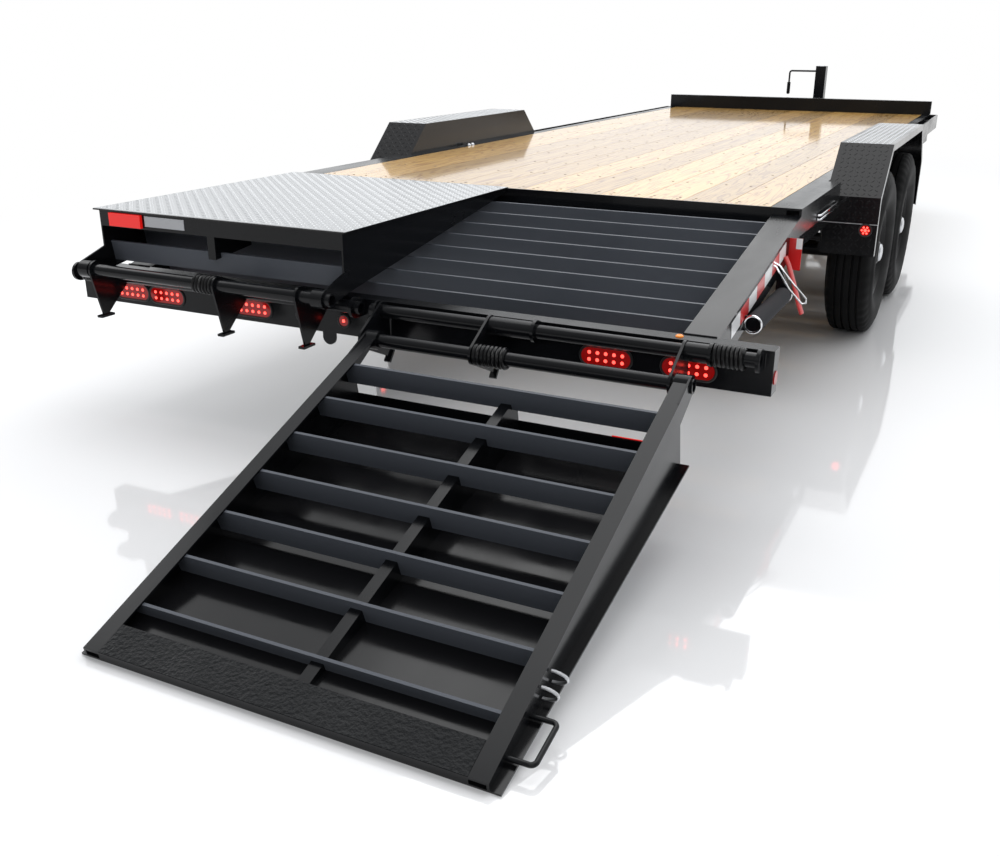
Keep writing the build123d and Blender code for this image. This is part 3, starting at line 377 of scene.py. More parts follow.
def dome(place, normal, radius, height, sides=12):
    """A low round head that stands on a surface."""
    normal = Vector(normal).normalized()
    across = normal.orthogonal().normalized()
    other = normal.cross(across)
    points, faces = [], []
    rings = ((1.0, 0.0), (0.92, 0.55), (0.55, 0.95))
    for share, rise in rings:
        for side in range(sides):
            a = 2 * math.pi * side / sides
            out = across * math.cos(a) + other * math.sin(a)
            points.append(Vector(place) + out * radius * share + normal * height * rise)
    for ring in range(len(rings) - 1):
        for side in range(sides):
            a, b = ring * sides + side, ring * sides + (side + 1) % sides
            faces.append((a, b, b + sides, a + sides))
    faces.append(tuple((len(rings) - 1) * sides + side for side in range(sides)))
    faces.append(tuple(reversed(range(sides))))
    return points, faces


def lozenges(origin, along, across, length, width, pitch=0.025):
    """Raised bars in two directions, in turn, over a rectangle of checkered plate."""
    origin, along, across = Vector(origin), Vector(along).normalized(), Vector(across).normalized()
    normal = along.cross(across)
    half_long, half_wide, height = pitch * 0.46, pitch * 0.13, 0.0015
    outline = ((-half_long, 0), (-half_long * 0.55, -half_wide), (half_long * 0.55, -half_wide),
               (half_long, 0), (half_long * 0.55, half_wide), (-half_long * 0.55, half_wide))
    shapes = []
    rows, columns = int(length / pitch), int(width / pitch)
    margin_a, margin_b = (length - (rows - 1) * pitch) / 2, (width - (columns - 1) * pitch) / 2
    for row in range(rows):
        for column in range(columns):
            angle = math.radians(45 if (row + column) % 2 else -45)
            u, v = math.cos(angle), math.sin(angle)
            middle = origin + along * (margin_a + row * pitch) + across * (margin_b + column * pitch)
            points = []
            for share, rise in ((1.0, -0.0003), (0.55, height)):
                for a, b in outline:
                    a, b = a * share, b * share
                    points.append(middle + along * (a * u - b * v) + across * (a * v + b * u)
                                  + normal * rise)
            faces = [(i, (i + 1) % 6, 6 + (i + 1) % 6, 6 + i) for i in range(6)]
            faces.append((6, 7, 8, 9, 10, 11))
            shapes.append((points, faces))
    return joined(shapes)


def add(name, shape, finish, body, smooth=False):
    """Makes a piece that rides on a body."""
    points, faces = shape
    mesh = bpy.data.meshes.new(name)
    mesh.from_pydata([tuple(point) for point in points], [], faces)
    mesh.update()
    mesh.materials.append(finish)
    if smooth:
        mesh.polygons.foreach_set("use_smooth", [True] * len(mesh.polygons))
        mesh.set_sharp_from_angle(angle=math.radians(38))
    made = bpy.data.objects.new(name, mesh)
    scene.collection.objects.link(made)
    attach(made, body)
    return made


# Ramps

def ramp_matrix(name):
    """Takes a point of the folded ramp, measured from its pivot, to where the ramp stands."""
    pivot = Vector(JOINTS[f"ramp_{name}_flip"]["pos_m"])
    if name == "left":
        return Matrix.Translation(pivot)
    turn = sum(abs(JOINTS[joint]["range_deg"][0])
               for joint in (f"ramp_{name}_flip", f"link_{name}_turn"))
    return Matrix.Translation(pivot) @ Matrix.Rotation(math.radians(turn), 4, "X")


# Sizes of the folded ramp, Y and Z from its pivot
RAMP_STEEL = 0.006
LEFT_PIVOT = Vector(JOINTS["ramp_left_flip"]["pos_m"])
LEFT_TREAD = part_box("ramp_tread_left")
RAMP_TOE = LEFT_TREAD[1].y - LEFT_PIVOT.y
RAMP_HEEL = LEFT_TREAD[0].y - LEFT_PIVOT.y + RAMP_STEEL
TREAD_TOP = LEFT_TREAD[1].z - LEFT_PIVOT.z
TREAD_BOTTOM = LEFT_TREAD[0].z - LEFT_PIVOT.z
RAMP_IN_X = -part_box("ramp_sides_left")[1].x
RAMP_OUT_X = -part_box("ramp_sides_left")[0].x
RAMP_RAIL = 0.045
PIVOT_DROP = 0.022
TOE_THICK = 0.024
CLEAT_RISE = (TREAD_TOP - TOE_THICK + PIVOT_DROP) / RAMP_TOE
CLEAT_HALF = 0.004
CLEAT_COUNT = 7
FIRST_CLEAT_Y = 0.15
LAST_CLEAT_GAP = 0.156
SPINE_X = 0.6
SPINE_WIDTH = 0.032
SPINE_TOE_DEPTH = 0.012
HEEL_FLANGE = 0.055
TOE_PLATE = 0.085
BRIDGE_DEPTH = 0.062
BRIDGE_FALL = 0.036
BRIDGE_LAP = 0.001
TREAD_IN_LAP = 0.012
TREAD_OUT_LAP = 0.024
SKIN_THICK = 0.0003
STRIP_X = (0.721, 0.899)
STRIP_Y = (0.1005, 0.1028)
STRIP_DROP = (0.048, 0.012)
GRIP_LENGTH = 0.084
GRIP_INSET = 0.046
GRIP_THICK = 0.0012
HOOKS_FROM_TOE = (0.24, 0.29)
HOOK_REACH = 0.036
HOOK_HALF_HEIGHT = 0.016
HOOK_DROP = 0.03
HOOK_ROD = 0.004
HOOK_STEPS = 12


def cleat_z(y):
    """Height of the cleat side of the folded ramp, above its pivot."""
    return y * CLEAT_RISE - PIVOT_DROP


def on_cleats(y, rise=0.0):
    """Takes a flat shape to the ramp's sloped cleat side."""
    wedge = math.atan(CLEAT_RISE)
    return Matrix.Translation((0, y, cleat_z(y) + rise)) @ Matrix.Rotation(wedge, 4, "X")


def tread_shape(side):
    """A bright metal skin with raised bars on the checkered plate: the skin is a painted sheen of the sky
    on its black paint.
    """
    x0, x1 = span_x(side, RAMP_IN_X - TREAD_IN_LAP, RAMP_OUT_X + TREAD_OUT_LAP)
    corner = (x0, RAMP_HEEL, TREAD_TOP)
    bars = lozenges(corner, (1, 0, 0), (0, 1, 0), x1 - x0, RAMP_TOE - RAMP_HEEL)
    skin = block(x0, x1, RAMP_HEEL, RAMP_TOE, TREAD_TOP, TREAD_TOP + SKIN_THICK)
    return joined([bars, skin])


def strip_shape(side):
    """The reflecting strip on the heel flange."""
    low, high = (TREAD_TOP - drop for drop in STRIP_DROP)
    return block(*span_x(side, *STRIP_X), *STRIP_Y, low, high)


def grip_shape(side):
    """The rough sheet on the toe plate."""
    y = RAMP_TOE - GRIP_LENGTH
    x0, x1 = span_x(side, RAMP_IN_X + GRIP_INSET, RAMP_OUT_X - GRIP_INSET)
    return moved(block(x0, x1, 0, GRIP_LENGTH, -GRIP_THICK, 0), on_cleats(y))


def hook_shape(side):
    """Two curved hooks on the outer side plate, near the toe."""
    hooks = []
    for from_toe in HOOKS_FROM_TOE:
        arc = []
        for step in range(HOOK_STEPS + 1):
            a = math.pi * step / HOOK_STEPS
            x = RAMP_OUT_X + HOOK_ROD + HOOK_REACH * math.sin(a)
            z = TREAD_BOTTOM - HOOK_DROP - HOOK_HALF_HEIGHT * math.cos(a)
            arc.append((side * x, RAMP_TOE - from_toe, z))
        hooks.append(tube(arc, HOOK_ROD, 8))
    return joined(hooks)


def bridge_shape(side):
    """A short bar over the middle tube at each cleat, so that the cleat runs from rail to rail."""
    pitch = (RAMP_TOE - LAST_CLEAT_GAP - FIRST_CLEAT_Y) / (CLEAT_COUNT - 1)
    x0, x1 = span_x(side, SPINE_X - BRIDGE_LAP, SPINE_X + SPINE_WIDTH + BRIDGE_LAP)
    rise = RAMP_STEEL / math.cos(math.atan(CLEAT_RISE))
    bars = []
    for index in range(CLEAT_COUNT):
        y = FIRST_CLEAT_Y + index * pitch
        share = (y - FIRST_CLEAT_Y) / (RAMP_TOE - FIRST_CLEAT_Y)
        bar = block(x0, x1, -CLEAT_HALF, CLEAT_HALF, -0.0004, BRIDGE_DEPTH - BRIDGE_FALL * share)
        bars.append(moved(bar, on_cleats(y, rise)))
    return joined(bars)


def prism_x(outline, x0, x1):
    """A closed outline of (y, z) points between two X planes."""
    count = len(outline)
    points = [(x, y, z) for x in (x0, x1) for y, z in outline]
    faces = [(i, (i + 1) % count, count + (i + 1) % count, count + i) for i in range(count)]
    faces.append(tuple(reversed(range(count))))
    faces.append(tuple(range(count, 2 * count)))
    return points, faces


def middle_shape(side):
    """The ramp's middle tube under its cleats, with the heel flange and the bent toe plate."""
    plate = TREAD_BOTTOM
    heel_y = RAMP_HEEL + RAMP_STEEL
    toe_y = RAMP_TOE - TOE_PLATE
    tube_side = [(heel_y, cleat_z(heel_y) + BRIDGE_DEPTH), (toe_y, plate - SPINE_TOE_DEPTH),
                 (toe_y, plate), (heel_y, plate)]
    toe_side = [(toe_y, cleat_z(toe_y)), (RAMP_TOE, cleat_z(RAMP_TOE)), (RAMP_TOE, plate),
                (RAMP_TOE - RAMP_STEEL, plate),
                (RAMP_TOE - RAMP_STEEL, cleat_z(RAMP_TOE) + RAMP_STEEL),
                (toe_y + RAMP_STEEL, cleat_z(toe_y + RAMP_STEEL) + RAMP_STEEL),
                (toe_y + RAMP_STEEL, plate), (toe_y, plate)]
    flange_x = span_x(side, RAMP_IN_X + RAMP_STEEL, RAMP_OUT_X - RAMP_STEEL)
    middle = prism_x(tube_side, *span_x(side, SPINE_X, SPINE_X + SPINE_WIDTH))
    flange = block(*flange_x, RAMP_HEEL, heel_y, plate - HEEL_FLANGE, plate)
    toe = prism_x(toe_side, *span_x(side, RAMP_IN_X + RAMP_RAIL, RAMP_OUT_X - RAMP_RAIL))
    return joined([middle, flange, toe])


def ramp_looks():
    """What each ramp has over its solids, and a middle tube that lets its cleats run across."""
    for name, side in SIDES:
        place = ramp_matrix(name)
        body = f"ramp_{name}"
        # The tread's bright skin is a painted sheen of the sky on the black plate.
        add(f"ramp_tread_bars_{name}", moved(tread_shape(side), place), TREAD_PAINTED_SHEEN, body)
        add(f"ramp_strip_{name}", moved(strip_shape(side), place), GREY_STRIP, body)
        add(f"ramp_toe_grip_{name}", moved(grip_shape(side), place), GRIT, body)
        add(f"ramp_hooks_{name}", moved(hook_shape(side), place), ZINC, body, smooth=True)
        # The bridges take the cleats' grey, painted lit copy of the black paint.
        add(f"ramp_cleat_bridges_{name}", moved(bridge_shape(side), place), CLEAT_PAINTED_LIGHT, body)
        middle = add(f"ramp_middle_{name}", moved(middle_shape(side), place), BLACK, body)
        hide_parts(f"ramp_spine_{name}")


COIL_RADIUS = 0.0275
COIL_WIRE = 0.0062
COIL_STEPS = 24


def spring_coils():
    """Close-wound wire over the ribbed sleeves."""
    upper = JOINTS["link_left_turn"]["pos_m"]
    lower_left = JOINTS["ramp_left_flip"]["pos_m"]
    lower_right = JOINTS["ramp_right_flip"]["pos_m"]
    # Columns: body, centre, side, first X, length, turns
    coils = (
        ("trailer", upper, -1, 1.139, 0.086, 7),
        ("trailer", upper, 1, 1.139, 0.086, 7),
        ("link_left", lower_left, -1, 0.513, 0.084, 6),
        ("link_right", lower_right, 1, 0.451, 0.104, 8),
    )
    for number, (body, centre, side, start, length, turns) in enumerate(coils):
        path = []
        for step in range(turns * COIL_STEPS + 1):
            a = 2 * math.pi * step / COIL_STEPS
            x = start + length * step / (turns * COIL_STEPS)
            y = centre[1] + COIL_RADIUS * math.cos(a)
            path.append((side * x, y, centre[2] + COIL_RADIUS * math.sin(a)))
        add(f"spring_wire_{number}", tube(path, COIL_WIRE, 8), SPRING_BLACK, body, smooth=True)


# Deck and body

SCREW_END_ROWS = (0.03, 0.07)
SCREW_FIRST_ROW = 0.107
SCREW_ROW_PITCH = 0.406
SCREW_ROWS = 12
SCREW_OFFSET = 0.052


def deck_screws():
    """Rows of screw heads across the planks."""
    rows = [*SCREW_END_ROWS]
    rows += [SCREW_FIRST_ROW + SCREW_ROW_PITCH * index for index in range(1, SCREW_ROWS + 1)]
    heads = []
    for row in rows:
        for plank in range(PLANK_COUNT):
            middle = PLANKS[0].x + (plank + 0.5) * PLANK_PITCH
            for offset in (-SCREW_OFFSET, SCREW_OFFSET):
                place = (middle + offset, DECK_REAR_Y + row, DECK_Z)
                heads.append(dome(place, (0, 0, 1), 0.006, 0.0012, 10))
    add("deck_screws", joined(heads), SCREW, "trailer")


FENDER_EDGE = 0.004
FENDER_RUN = 0.23
FENDER_FALL = 0.203
SKIRT_STAND = 0.003
SKIRT_HEIGHT = 0.135


def fender_plate():
    """Checkered pattern on the fenders, with the tops in bright metal as a painted sheen, and a bright
    line at the top of each rear skirt.
    """
    for name, _ in SIDES:
        low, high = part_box(f"fender_{name}")
        x0, x1 = low.x + FENDER_EDGE, high.x - FENDER_EDGE
        width = x1 - x0
        rear_y = low.y + SKIRT_STAND
        knee_y = rear_y + FENDER_RUN
        front_y = high.y - FENDER_RUN
        knee_z = high.z - FENDER_FALL
        rise = Vector((0, FENDER_RUN, FENDER_FALL))
        fall = Vector((0, FENDER_RUN, -FENDER_FALL))
        top = lozenges((x0, knee_y, high.z), (1, 0, 0), (0, 1, 0), width, front_y - knee_y)
        slant = lozenges((x0, rear_y, knee_z), (1, 0, 0), rise, width, rise.length)
        front = lozenges((x0, front_y, high.z), (1, 0, 0), fall, width, rise.length)
        skirt = lozenges((x0, low.y, low.z + 0.004), (1, 0, 0), (0, 0, 1), width, SKIRT_HEIGHT - 0.008)
        panel_z = low.z + SKIRT_HEIGHT + 0.005
        panel = lozenges((x0, rear_y, panel_z), (1, 0, 0), (0, 0, 1), width, knee_z - panel_z - 0.005)
        add(f"fender_bars_{name}", joined([slant, front, skirt, panel]), TREAD_BLACK, "trailer")
        # Only the fender tops get the bright metal: a painted sheen where they face the light.
        add(f"fender_top_bars_{name}", top, TREAD_PAINTED_SHEEN, "trailer")
        edge_z = low.z + SKIRT_HEIGHT
        edge = block(low.x, high.x, low.y - 0.001, rear_y, edge_z, edge_z + 0.003)
        add(f"fender_edge_{name}", edge, ZINC, "trailer")


def oval_path(x, y, z, half_long, half_high, steps=32):
    """Points round an oval in a plane across the trailer."""
    straight = max(half_long - half_high, 0)
    path = []
    for step in range(steps):
        a = 2 * math.pi * step / steps
        end = straight if math.cos(a) >= 0 else -straight
        path.append((x + end + half_high * math.cos(a), y, z + half_high * math.sin(a)))
    return path


BEAM_BOTTOM_Z = 0.399
LAMP_Z = (BEAM[1].z + BEAM_BOTTOM_Z) / 2 - 0.018
LAMP_PROUD = 0.003
POINT_PITCH_X = 0.026
POINT_PITCH_Z = 0.022
FENDER_LAMP_X = 1.247
FENDER_LAMP_Z = 0.551
FENDER_LAMP_RADIUS = 0.026
FENDER_POINTS = 6
# Lamps on the beam, columns: middle, half length, half height, columns and rows of lit points
LAMPS = (
    (-1.056, 0.078, 0.027, 5, 2), (-0.89, 0.078, 0.027, 5, 2), (-0.5, 0.078, 0.027, 5, 2),
    (-0.27, 0.04, 0.022, 3, 1), (-0.122, 0.018, 0.018, 1, 1), (0.0, 0.03, 0.03, 2, 2),
    (0.805, 0.078, 0.027, 5, 2), (1.056, 0.078, 0.027, 5, 2),
)


def lamp_looks():
    """A gasket round each lamp and its lit points, and a glowing amber dome painted as a glint on the
    beam's top flange.
    """
    gaskets, points = [], []
    back = (0, -1, 0)
    for x, half_long, half_high, columns, rows in LAMPS:
        outline = oval_path(x, BEAM_REAR_Y - 0.001, LAMP_Z, half_long + 0.003, half_high + 0.003)
        gaskets.append(tube(outline, 0.0045, 8, closed=True))
        for column in range(columns):
            for row in range(rows):
                u = (column - (columns - 1) / 2) * POINT_PITCH_X
                v = (row - (rows - 1) / 2) * POINT_PITCH_Z
                points.append(dome((x + u, BEAM_REAR_Y - LAMP_PROUD, LAMP_Z + v), back, 0.0055, 0.002))
    lamp_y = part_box("fender_left")[0].y - LAMP_PROUD
    for _, side in SIDES:
        x = side * FENDER_LAMP_X
        outline = oval_path(x, lamp_y + 0.001, FENDER_LAMP_Z, FENDER_LAMP_RADIUS, FENDER_LAMP_RADIUS)
        gaskets.append(tube(outline, 0.004, 8, closed=True))
        points.append(dome((x, lamp_y, FENDER_LAMP_Z), back, 0.007, 0.002))
        for u, v in circle(0.014, FENDER_POINTS):
            points.append(dome((x + u, lamp_y, FENDER_LAMP_Z + v), back, 0.0045, 0.0015))
    add("lamp_gaskets", joined(gaskets), GASKET, "trailer", smooth=True)
    add("lamp_points", joined(points), LED, "trailer", smooth=True)
    # A glowing amber dome on the top flange: a painted glint.
    spot = dome((1.015, BEAM_REAR_Y + 0.03, BEAM[1].z), (0, 0, 1), 0.012, 0.006)
    add("amber_glint_spot", spot, AMBER_PAINTED_GLINT, "trailer", smooth=True)


LUG_PLACES = (0.04, 0.591, 1.126, 1.259)
LUG_THICK = 0.012
WELD_RADIUS = 0.003


def welds():
    """Beads where the lugs and the dovetail rails meet the beam."""
    beads = []
    for name, side in SIDES:
        for lug in LUG_PLACES:
            for x in (lug - 0.001, lug + LUG_THICK - 0.001):
                path = [(side * x, BEAM_REAR_Y - 0.001, BEAM[1].z - 0.05 + 0.006 * step)
                        for step in range(8)]
                beads.append(tube(path, WELD_RADIUS, 6))
        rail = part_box(f"dovetail_side_{name}")
        path = [(rail[0].x + 0.01 * step, BEAM[1].y + 0.001, BEAM[1].z + 0.001) for step in range(11)]
        beads.append(tube(path, WELD_RADIUS, 6))
    add("weld_beads", joined(beads), BLACK, "trailer", smooth=True)


# Tape, strap, knobs and the pieces at the front

TAPE_X = 1.1232
TAPE_THICK = 0.0008
TAPE_PIECES = 7
TAPE_START = 0.2
TAPE_LENGTH = 0.1
TAPE_HEIGHT = 0.05
TAPE_DROP = 0.012
PLATE_AHEAD = 0.95
PLATE_WIDTH = 0.045
PLATE_Z = (0.56, 0.672)


def rail_top(y):
    """Height of the sloped side rail's top, at a distance ahead of the beam's rear face."""
    slope = (DECK_Z - DECK_STEP - BEAM[1].z) / (DECK_REAR_Y - BEAM[1].y)
    return BEAM[1].z + slope * (from_beam(y) - BEAM[1].y)


def tapes():
    """Red and white reflecting tape along each sloped side, and a marked plate on the right."""
    reds, whites = [], []
    slope = math.atan(rail_top(1) - rail_top(0))
    for _, side in SIDES:
        x0, x1 = span_x(side, TAPE_X, TAPE_X + TAPE_THICK)
        for index in range(TAPE_PIECES):
            y = TAPE_START + TAPE_LENGTH * index
            place = Matrix.Translation((0, from_beam(y), rail_top(y) - TAPE_HEIGHT - TAPE_DROP))
            strip = block(x0, x1, 0, TAPE_LENGTH, 0, TAPE_HEIGHT)
            strip = moved(strip, place @ Matrix.Rotation(slope, 4, "X"))
            if index % 2:
                reds.append(strip)
            else:
                whites.append(strip)
    y = from_beam(PLATE_AHEAD)
    reds.append(block(TAPE_X, TAPE_X + PLATE_WIDTH, y, y + 0.002, *PLATE_Z))
    whites.append(block(TAPE_X + 0.024, TAPE_X + PLATE_WIDTH, y - TAPE_THICK, y, 0.635, PLATE_Z[1]))
    add("tape_red", joined(reds), RED_TAPE, "trailer")
    add("tape_white", joined(whites), WHITE_TAPE, "trailer")


STRAP_X = 1.151
STRAP_DROP = 0.025
STRAP_TURNS = 26
STRAP_END = 0.012
LEVER_AHEAD = 0.878
PIN_AHEAD = 0.7
CLIP_RISES = (0.0, 0.016)


def strap_ring(y, radius, rod, steps, sides):
    """One ring round the strap bar."""
    z = BEAM[1].z - STRAP_DROP
    path = [(STRAP_X + u, y, z + v) for u, v in circle(radius, steps)]
    return tube(path, rod, sides, closed=True)


def strap_and_lever():
    """The strap wound on the bar, its bright end rings, the lever and the wire clips."""
    low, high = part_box("strap_bar")
    start, end = low.y + STRAP_END, high.y - STRAP_END
    turns = []
    for index in range(STRAP_TURNS):
        y = start + (end - start) * (index + 0.5) / STRAP_TURNS
        turns.append(strap_ring(y, 0.0235, 0.006, 24, 6))
    add("strap_winding", joined(turns), WEBBING, "trailer", smooth=True)
    rings = [strap_ring(y, 0.026, 0.004, 32, 8) for y in (low.y - 0.001, high.y + 0.001)]
    add("strap_rings", joined(rings), CHROME, "trailer", smooth=True)
    y = from_beam(LEVER_AHEAD)
    lever = [(1.128, y, 0.619), (1.142, y, 0.59), (1.168, y, 0.52), (1.19, y, 0.455), (1.203, y, 0.424)]
    flat = Matrix.Translation((0, y, 0)) @ Matrix.Diagonal((1, 2.6, 1, 1)) @ Matrix.Translation((0, -y, 0))
    add("strap_lever", moved(tube(lever, 0.0075, 10), flat), RED_LEVER, "trailer", smooth=True)
    y = from_beam(PIN_AHEAD)
    wire = [(1.126, y, 0.62), (1.135, y, 0.618), (1.15, y, 0.595), (1.185, y, 0.546), (1.23, y, 0.502),
            (1.243, y, 0.505), (1.243, y, 0.52), (1.2, y, 0.562), (1.165, y, 0.6), (1.148, y, 0.622),
            (1.126, y, 0.632)]
    add("strap_hairpin", tube(wire, 0.0032, 8), CHROME, "trailer", smooth=True)
    clip = []
    for rise in CLIP_RISES:
        z = 0.661 + rise
        path = [(1.124, from_beam(1.458), z), (1.135, from_beam(1.47), z), (1.135, from_beam(1.859), z),
                (1.124, from_beam(1.871), z)]
        clip.append(tube(path, 0.0035, 8))
    add("side_clip", joined(clip), CHROME, "trailer", smooth=True)


KNOB_X = 1.03
KNOBS_AHEAD = (2.602, 2.644)
SLOT_X = (1.02, 1.052)
SLOT_AHEAD = (2.5, 2.57)


def edge_knobs():
    """A pair of knobs, and beside them a thin black sheet painted as the shade in a slot, at each edge of
    the deck by the fender.
    """
    knobs, slots = [], []
    slot_y = [from_beam(y) for y in SLOT_AHEAD]
    for _, side in SIDES:
        for y in KNOBS_AHEAD:
            knobs.append(dome((side * KNOB_X, from_beam(y), DECK_Z), (0, 0, 1), 0.013, 0.011, 16))
        # A thin black sheet on the deck: painted shade standing in for a slot.
        slots.append(block(*span_x(side, *SLOT_X), *slot_y, DECK_Z, DECK_Z + 0.0008))
    add("edge_knobs", joined(knobs), ZINC, "trailer", smooth=True)
    add("edge_slots", joined(slots), GASKET, "trailer")


JACK_BOLT = 0.0605
JACK_PLATE_Z = 0.709


def front_looks():
    """A grip, bolts and a cap on the jack, and the coupler's latch."""
    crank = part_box("jack_crank")
    middle_y = (crank[0].y + crank[1].y) / 2
    grip = tube([(crank[0].x + 0.008, middle_y, crank[0].z + 0.005 + 0.02 * step) for step in range(6)],
                0.015, 14)
    add("crank_grip", grip, RUBBER, "trailer", smooth=True)
    bolts = []
    for x in (-JACK_BOLT, JACK_BOLT):
        for y in (-JACK_BOLT, JACK_BOLT):
            bolts.append(dome((x, middle_y + y, JACK_PLATE_Z), (0, 0, 1), 0.011, 0.009, 6))
    bolts.append(dome((0, middle_y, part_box("jack_tube")[1].z), (0, 0, 1), 0.03, 0.004, 20))
    add("jack_bolts", joined(bolts), ZINC, "trailer")
    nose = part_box("coupler")[1]
    latch = [(0.0, nose.y - 0.16, nose.z - 0.002), (0.0, nose.y - 0.13, nose.z + 0.012),
             (0.0, nose.y - 0.08, nose.z + 0.016)]
    add("coupler_latch", tube(latch, 0.008, 10), ZINC, "trailer", smooth=True)


# Wheels

GROOVES = (0.048, 0.017, -0.017, -0.048)
GROOVE_DEPTH = 0.009
TYRE_SIDES = 180
SHOULDER_CUT = 0.006
NUT_COUNT = 8
NUT_CIRCLE = 0.0826
HOLE_CIRCLE = 0.112
HUB_FACE = 0.084


def tyre_profile(half_width, radius, bead):
    """The outline of a tyre as (x, radius) points, with four grooves in its tread."""
    bead_x = half_width - 0.028
    wall = [(bead_x, bead), (half_width - 0.02, bead + 0.012), (half_width - 0.006, bead + 0.045),
            (half_width, bead + 0.085), (half_width - 0.003, radius - 0.055),
            (half_width - 0.007, radius - 0.05), (half_width - 0.012, radius - 0.03),
            (half_width - 0.024, radius - 0.008)]
    crown = half_width - 0.036
    tread = [(crown, radius - 0.001)]
    for centre in GROOVES:
        tread += [(centre + 0.005, radius), (centre + 0.003, radius - GROOVE_DEPTH),
                  (centre - 0.003, radius - GROOVE_DEPTH), (centre - 0.005, radius)]
    tread.append((-crown, radius - 0.001))
    far_wall = [(-x, r) for x, r in reversed(wall)]
    return wall + tread + far_wall + [(-bead_x, bead + 0.001)]


def tyre_shape(centre, half_width, radius, bead):
    """The tyre, with cross cuts in its shoulders."""
    profile = tyre_profile(half_width, radius, bead)
    count = len(profile)
    points, faces = turned_x(profile, TYRE_SIDES, centre)
    middle = Vector(centre)
    for index, point in enumerate(points):
        x, r = profile[index % count]
        if (index // count) % 4 == 0 and abs(x) > 0.054 and r > radius - 0.032:
            out = Vector(point) - middle
            out.x = 0
            points[index] = Vector(point) - out.normalized() * SHOULDER_CUT
    return points, faces


def nuts_and_holes(centre, side):
    """Wheel nuts with round tips, and between them black discs painted as the shade in the hand holes."""
    nuts, holes = [], []

    def face(offset, u, v):
        return centre.x + side * offset, centre.y + u, centre.z + v

    for index in range(NUT_COUNT):
        a = 2 * math.pi * index / NUT_COUNT
        u, v = NUT_CIRCLE * math.cos(a), NUT_CIRCLE * math.sin(a)
        nuts.append(tube([face(0.008, u, v), face(0.032, u, v)], 0.011, 6))
        nuts.append(dome(face(0.032, u, v), (side, 0, 0), 0.0095, 0.006, 12))
        a += math.pi / NUT_COUNT
        u, v = HOLE_CIRCLE * math.cos(a), HOLE_CIRCLE * math.sin(a)
        # A black disc on the wheel face: painted shade standing in for a hand hole.
        holes.append(tube([face(0.0095, u, v), face(0.0108, u, v)], 0.013, 16))
    return joined(nuts), joined(holes)


def wheel_looks():
    """Modelled tyres, hub caps, wheel nuts, and black discs painted as the shade in the hand holes."""
    for end in ("rear", "front"):
        for name, side in SIDES:
            body = f"wheel_{end}_{name}"
            low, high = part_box(f"tyre_{end}_{name}")
            centre = (low + high) / 2
            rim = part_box(f"wheel_{end}_{name}")
            bead = (rim[1].z - rim[0].z) / 2
            shape = tyre_shape(centre, (high.x - low.x) / 2, (high.z - low.z) / 2, bead)
            made = add(f"tyre_tread_{end}_{name}", shape, RUBBER, body, smooth=True)
            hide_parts(f"tyre_{end}_{name}")
            cap = dome((centre.x + side * HUB_FACE, centre.y, centre.z), (side, 0, 0), 0.041, 0.012, 32)
            add(f"hub_cap_{end}_{name}", cap, ZINC, body, smooth=True)
            nuts, holes = nuts_and_holes(centre, side)
            add(f"wheel_nuts_{end}_{name}", nuts, CHROME, body)
            add(f"wheel_holes_{end}_{name}", holes, GASKET, body)


# Studio

FLOOR_HALF = 60
FADE_START = 2.6
FADE_END = 5.2


def floor():
    """A pale glossy floor that turns into the white backdrop far from the trailer."""
    size = FLOOR_HALF
    corners = [(-size, -size, 0), (size, -size, 0), (size, size, 0), (-size, size, 0)]
    mesh = bpy.data.meshes.new("studio_floor")
    mesh.from_pydata(corners, [], [(0, 1, 2, 3)])
    made = bpy.data.objects.new("studio_floor", mesh)
    scene.collection.objects.link(made)
    finish, shader, nodes, links = material("studio_floor")
    shader.inputs["Base Color"].default_value = (0.85, 0.85, 0.86, 1)
    shader.inputs["Roughness"].default_value = 0.05
    shader.inputs["Specular IOR Level"].default_value = 0.95
    place = nodes.new("ShaderNodeTexCoord")
    squeeze = nodes.new("ShaderNodeMapping")
    squeeze.inputs["Scale"].default_value = (1, 0.6, 1)
    length = nodes.new("ShaderNodeVectorMath")
    length.operation = "LENGTH"
    fade = nodes.new("ShaderNodeMapRange")
    fade.interpolation_type = "SMOOTHSTEP"
    fade.inputs["From Min"].default_value = FADE_START
    fade.inputs["From Max"].default_value = FADE_END
    white = nodes.new("ShaderNodeEmission")
    white.inputs["Strength"].default_value = 1.0
    mix = nodes.new("ShaderNodeMixShader")
    links.new(place.outputs["Object"], squeeze.inputs["Vector"])
    links.new(squeeze.outputs["Vector"], length.inputs[0])
    links.new(length.outputs["Value"], fade.inputs["Value"])
    links.new(fade.outputs["Result"], mix.inputs["Fac"])
    links.new(shader.outputs["BSDF"], mix.inputs[1])
    links.new(white.outputs["Emission"], mix.inputs[2])
    links.new(mix.outputs["Shader"], nodes["Material Output"].inputs["Surface"])
    mesh.materials.append(finish)


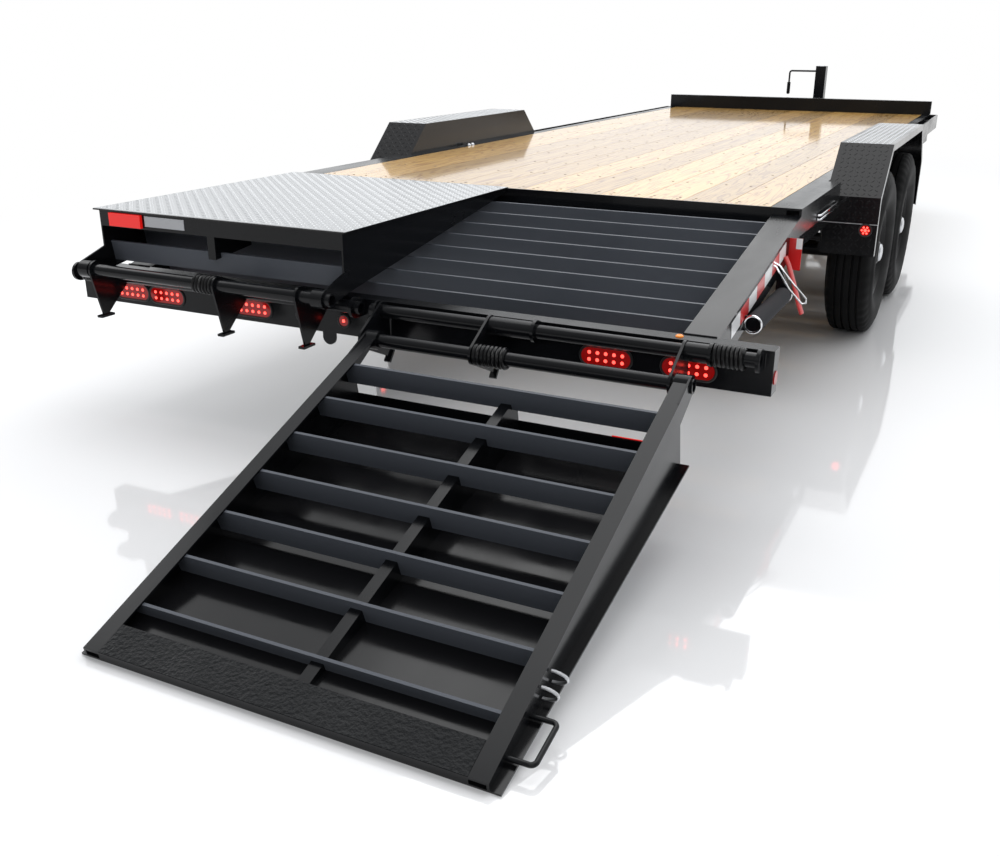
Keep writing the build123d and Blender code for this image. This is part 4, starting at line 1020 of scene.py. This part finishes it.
def world():
    """White to the camera, and to everything else a sky that is bright ahead and above."""
    made = bpy.data.worlds.new("studio")
    scene.world = made
    made.use_nodes = True
    nodes, links = made.node_tree.nodes, made.node_tree.links
    place = nodes.new("ShaderNodeTexCoord")
    split = nodes.new("ShaderNodeSeparateXYZ")
    links.new(place.outputs["Generated"], split.inputs["Vector"])
    total = nodes.new("ShaderNodeMath")
    sky_ranges = (("Y", (-0.35, 0.45, 0.3, 1.08)), ("Z", (0.2, 0.9, 0.0, 0.3)))
    for number, (axis, values) in enumerate(sky_ranges):
        ranged = nodes.new("ShaderNodeMapRange")
        for socket, value in zip(("From Min", "From Max", "To Min", "To Max"), values):
            ranged.inputs[socket].default_value = value
        links.new(split.outputs[axis], ranged.inputs["Value"])
        links.new(ranged.outputs["Result"], total.inputs[number])
    sky = nodes["Background"]
    sky.inputs["Color"].default_value = (0.97, 0.985, 1, 1)
    links.new(total.outputs["Value"], sky.inputs["Strength"])
    plain_white = nodes.new("ShaderNodeBackground")
    rays = nodes.new("ShaderNodeLightPath")
    mix = nodes.new("ShaderNodeMixShader")
    plain_white.inputs["Color"].default_value = (1, 1, 1, 1)
    links.new(rays.outputs["Is Camera Ray"], mix.inputs["Fac"])
    links.new(sky.outputs["Background"], mix.inputs[1])
    links.new(plain_white.outputs["Background"], mix.inputs[2])
    links.new(mix.outputs["Shader"], nodes["World Output"].inputs["Surface"])


def light(name, place, target, size, power):
    """A square soft light that looks at a point."""
    data = bpy.data.lights.new(name, "AREA")
    data.shape = "RECTANGLE"
    data.size, data.size_y = size
    data.energy = power
    made = bpy.data.objects.new(name, data)
    made.location = place
    made.rotation_mode = "QUATERNION"
    made.rotation_quaternion = (Vector(target) - Vector(place)).to_track_quat("-Z", "Y")
    scene.collection.objects.link(made)
    return made


def camera():
    """The photograph's camera."""
    data = bpy.data.cameras.new("camera")
    data.lens = CAMERA_LENS
    data.sensor_width = 36
    data.clip_end = 200
    made = bpy.data.objects.new("camera", data)
    scene.collection.objects.link(made)
    scene.camera = made
    a, e, roll = CAMERA_AZIMUTH, CAMERA_ELEVATION, CAMERA_ROLL
    ahead = Vector((-math.sin(a) * math.cos(e), math.cos(a) * math.cos(e), -math.sin(e)))
    level = Vector((math.cos(a), math.sin(a), 0))
    upright = level.cross(ahead)
    right = math.cos(roll) * level + math.sin(roll) * upright
    up = math.cos(roll) * upright - math.sin(roll) * level
    turn = Matrix((right, up, -ahead)).transposed().to_4x4()
    made.matrix_world = Matrix.Translation(CAMERA_PLACE) @ turn


def studio():
    """Floor, sky, lights and camera."""
    floor()
    world()
    light("softbox_top", (0.0, 0.5, 5.2), (0.0, 0.0, 0.0), (5.0, 9.0), 225)
    light("softbox_rear", (2.2, -8.0, 3.4), (0.0, -3.0, 0.4), (4.0, 2.0), 40)
    light("softbox_left", (-5.5, -3.0, 3.0), (0.0, -1.0, 0.5), (3.0, 5.0), 90)
    camera()
    scene.view_settings.view_transform = "Standard"


paint_frame()
ramp_looks()
spring_coils()
deck_screws()
fender_plate()
lamp_looks()
welds()
tapes()
strap_and_lever()
edge_knobs()
front_looks()
wheel_looks()
studio()
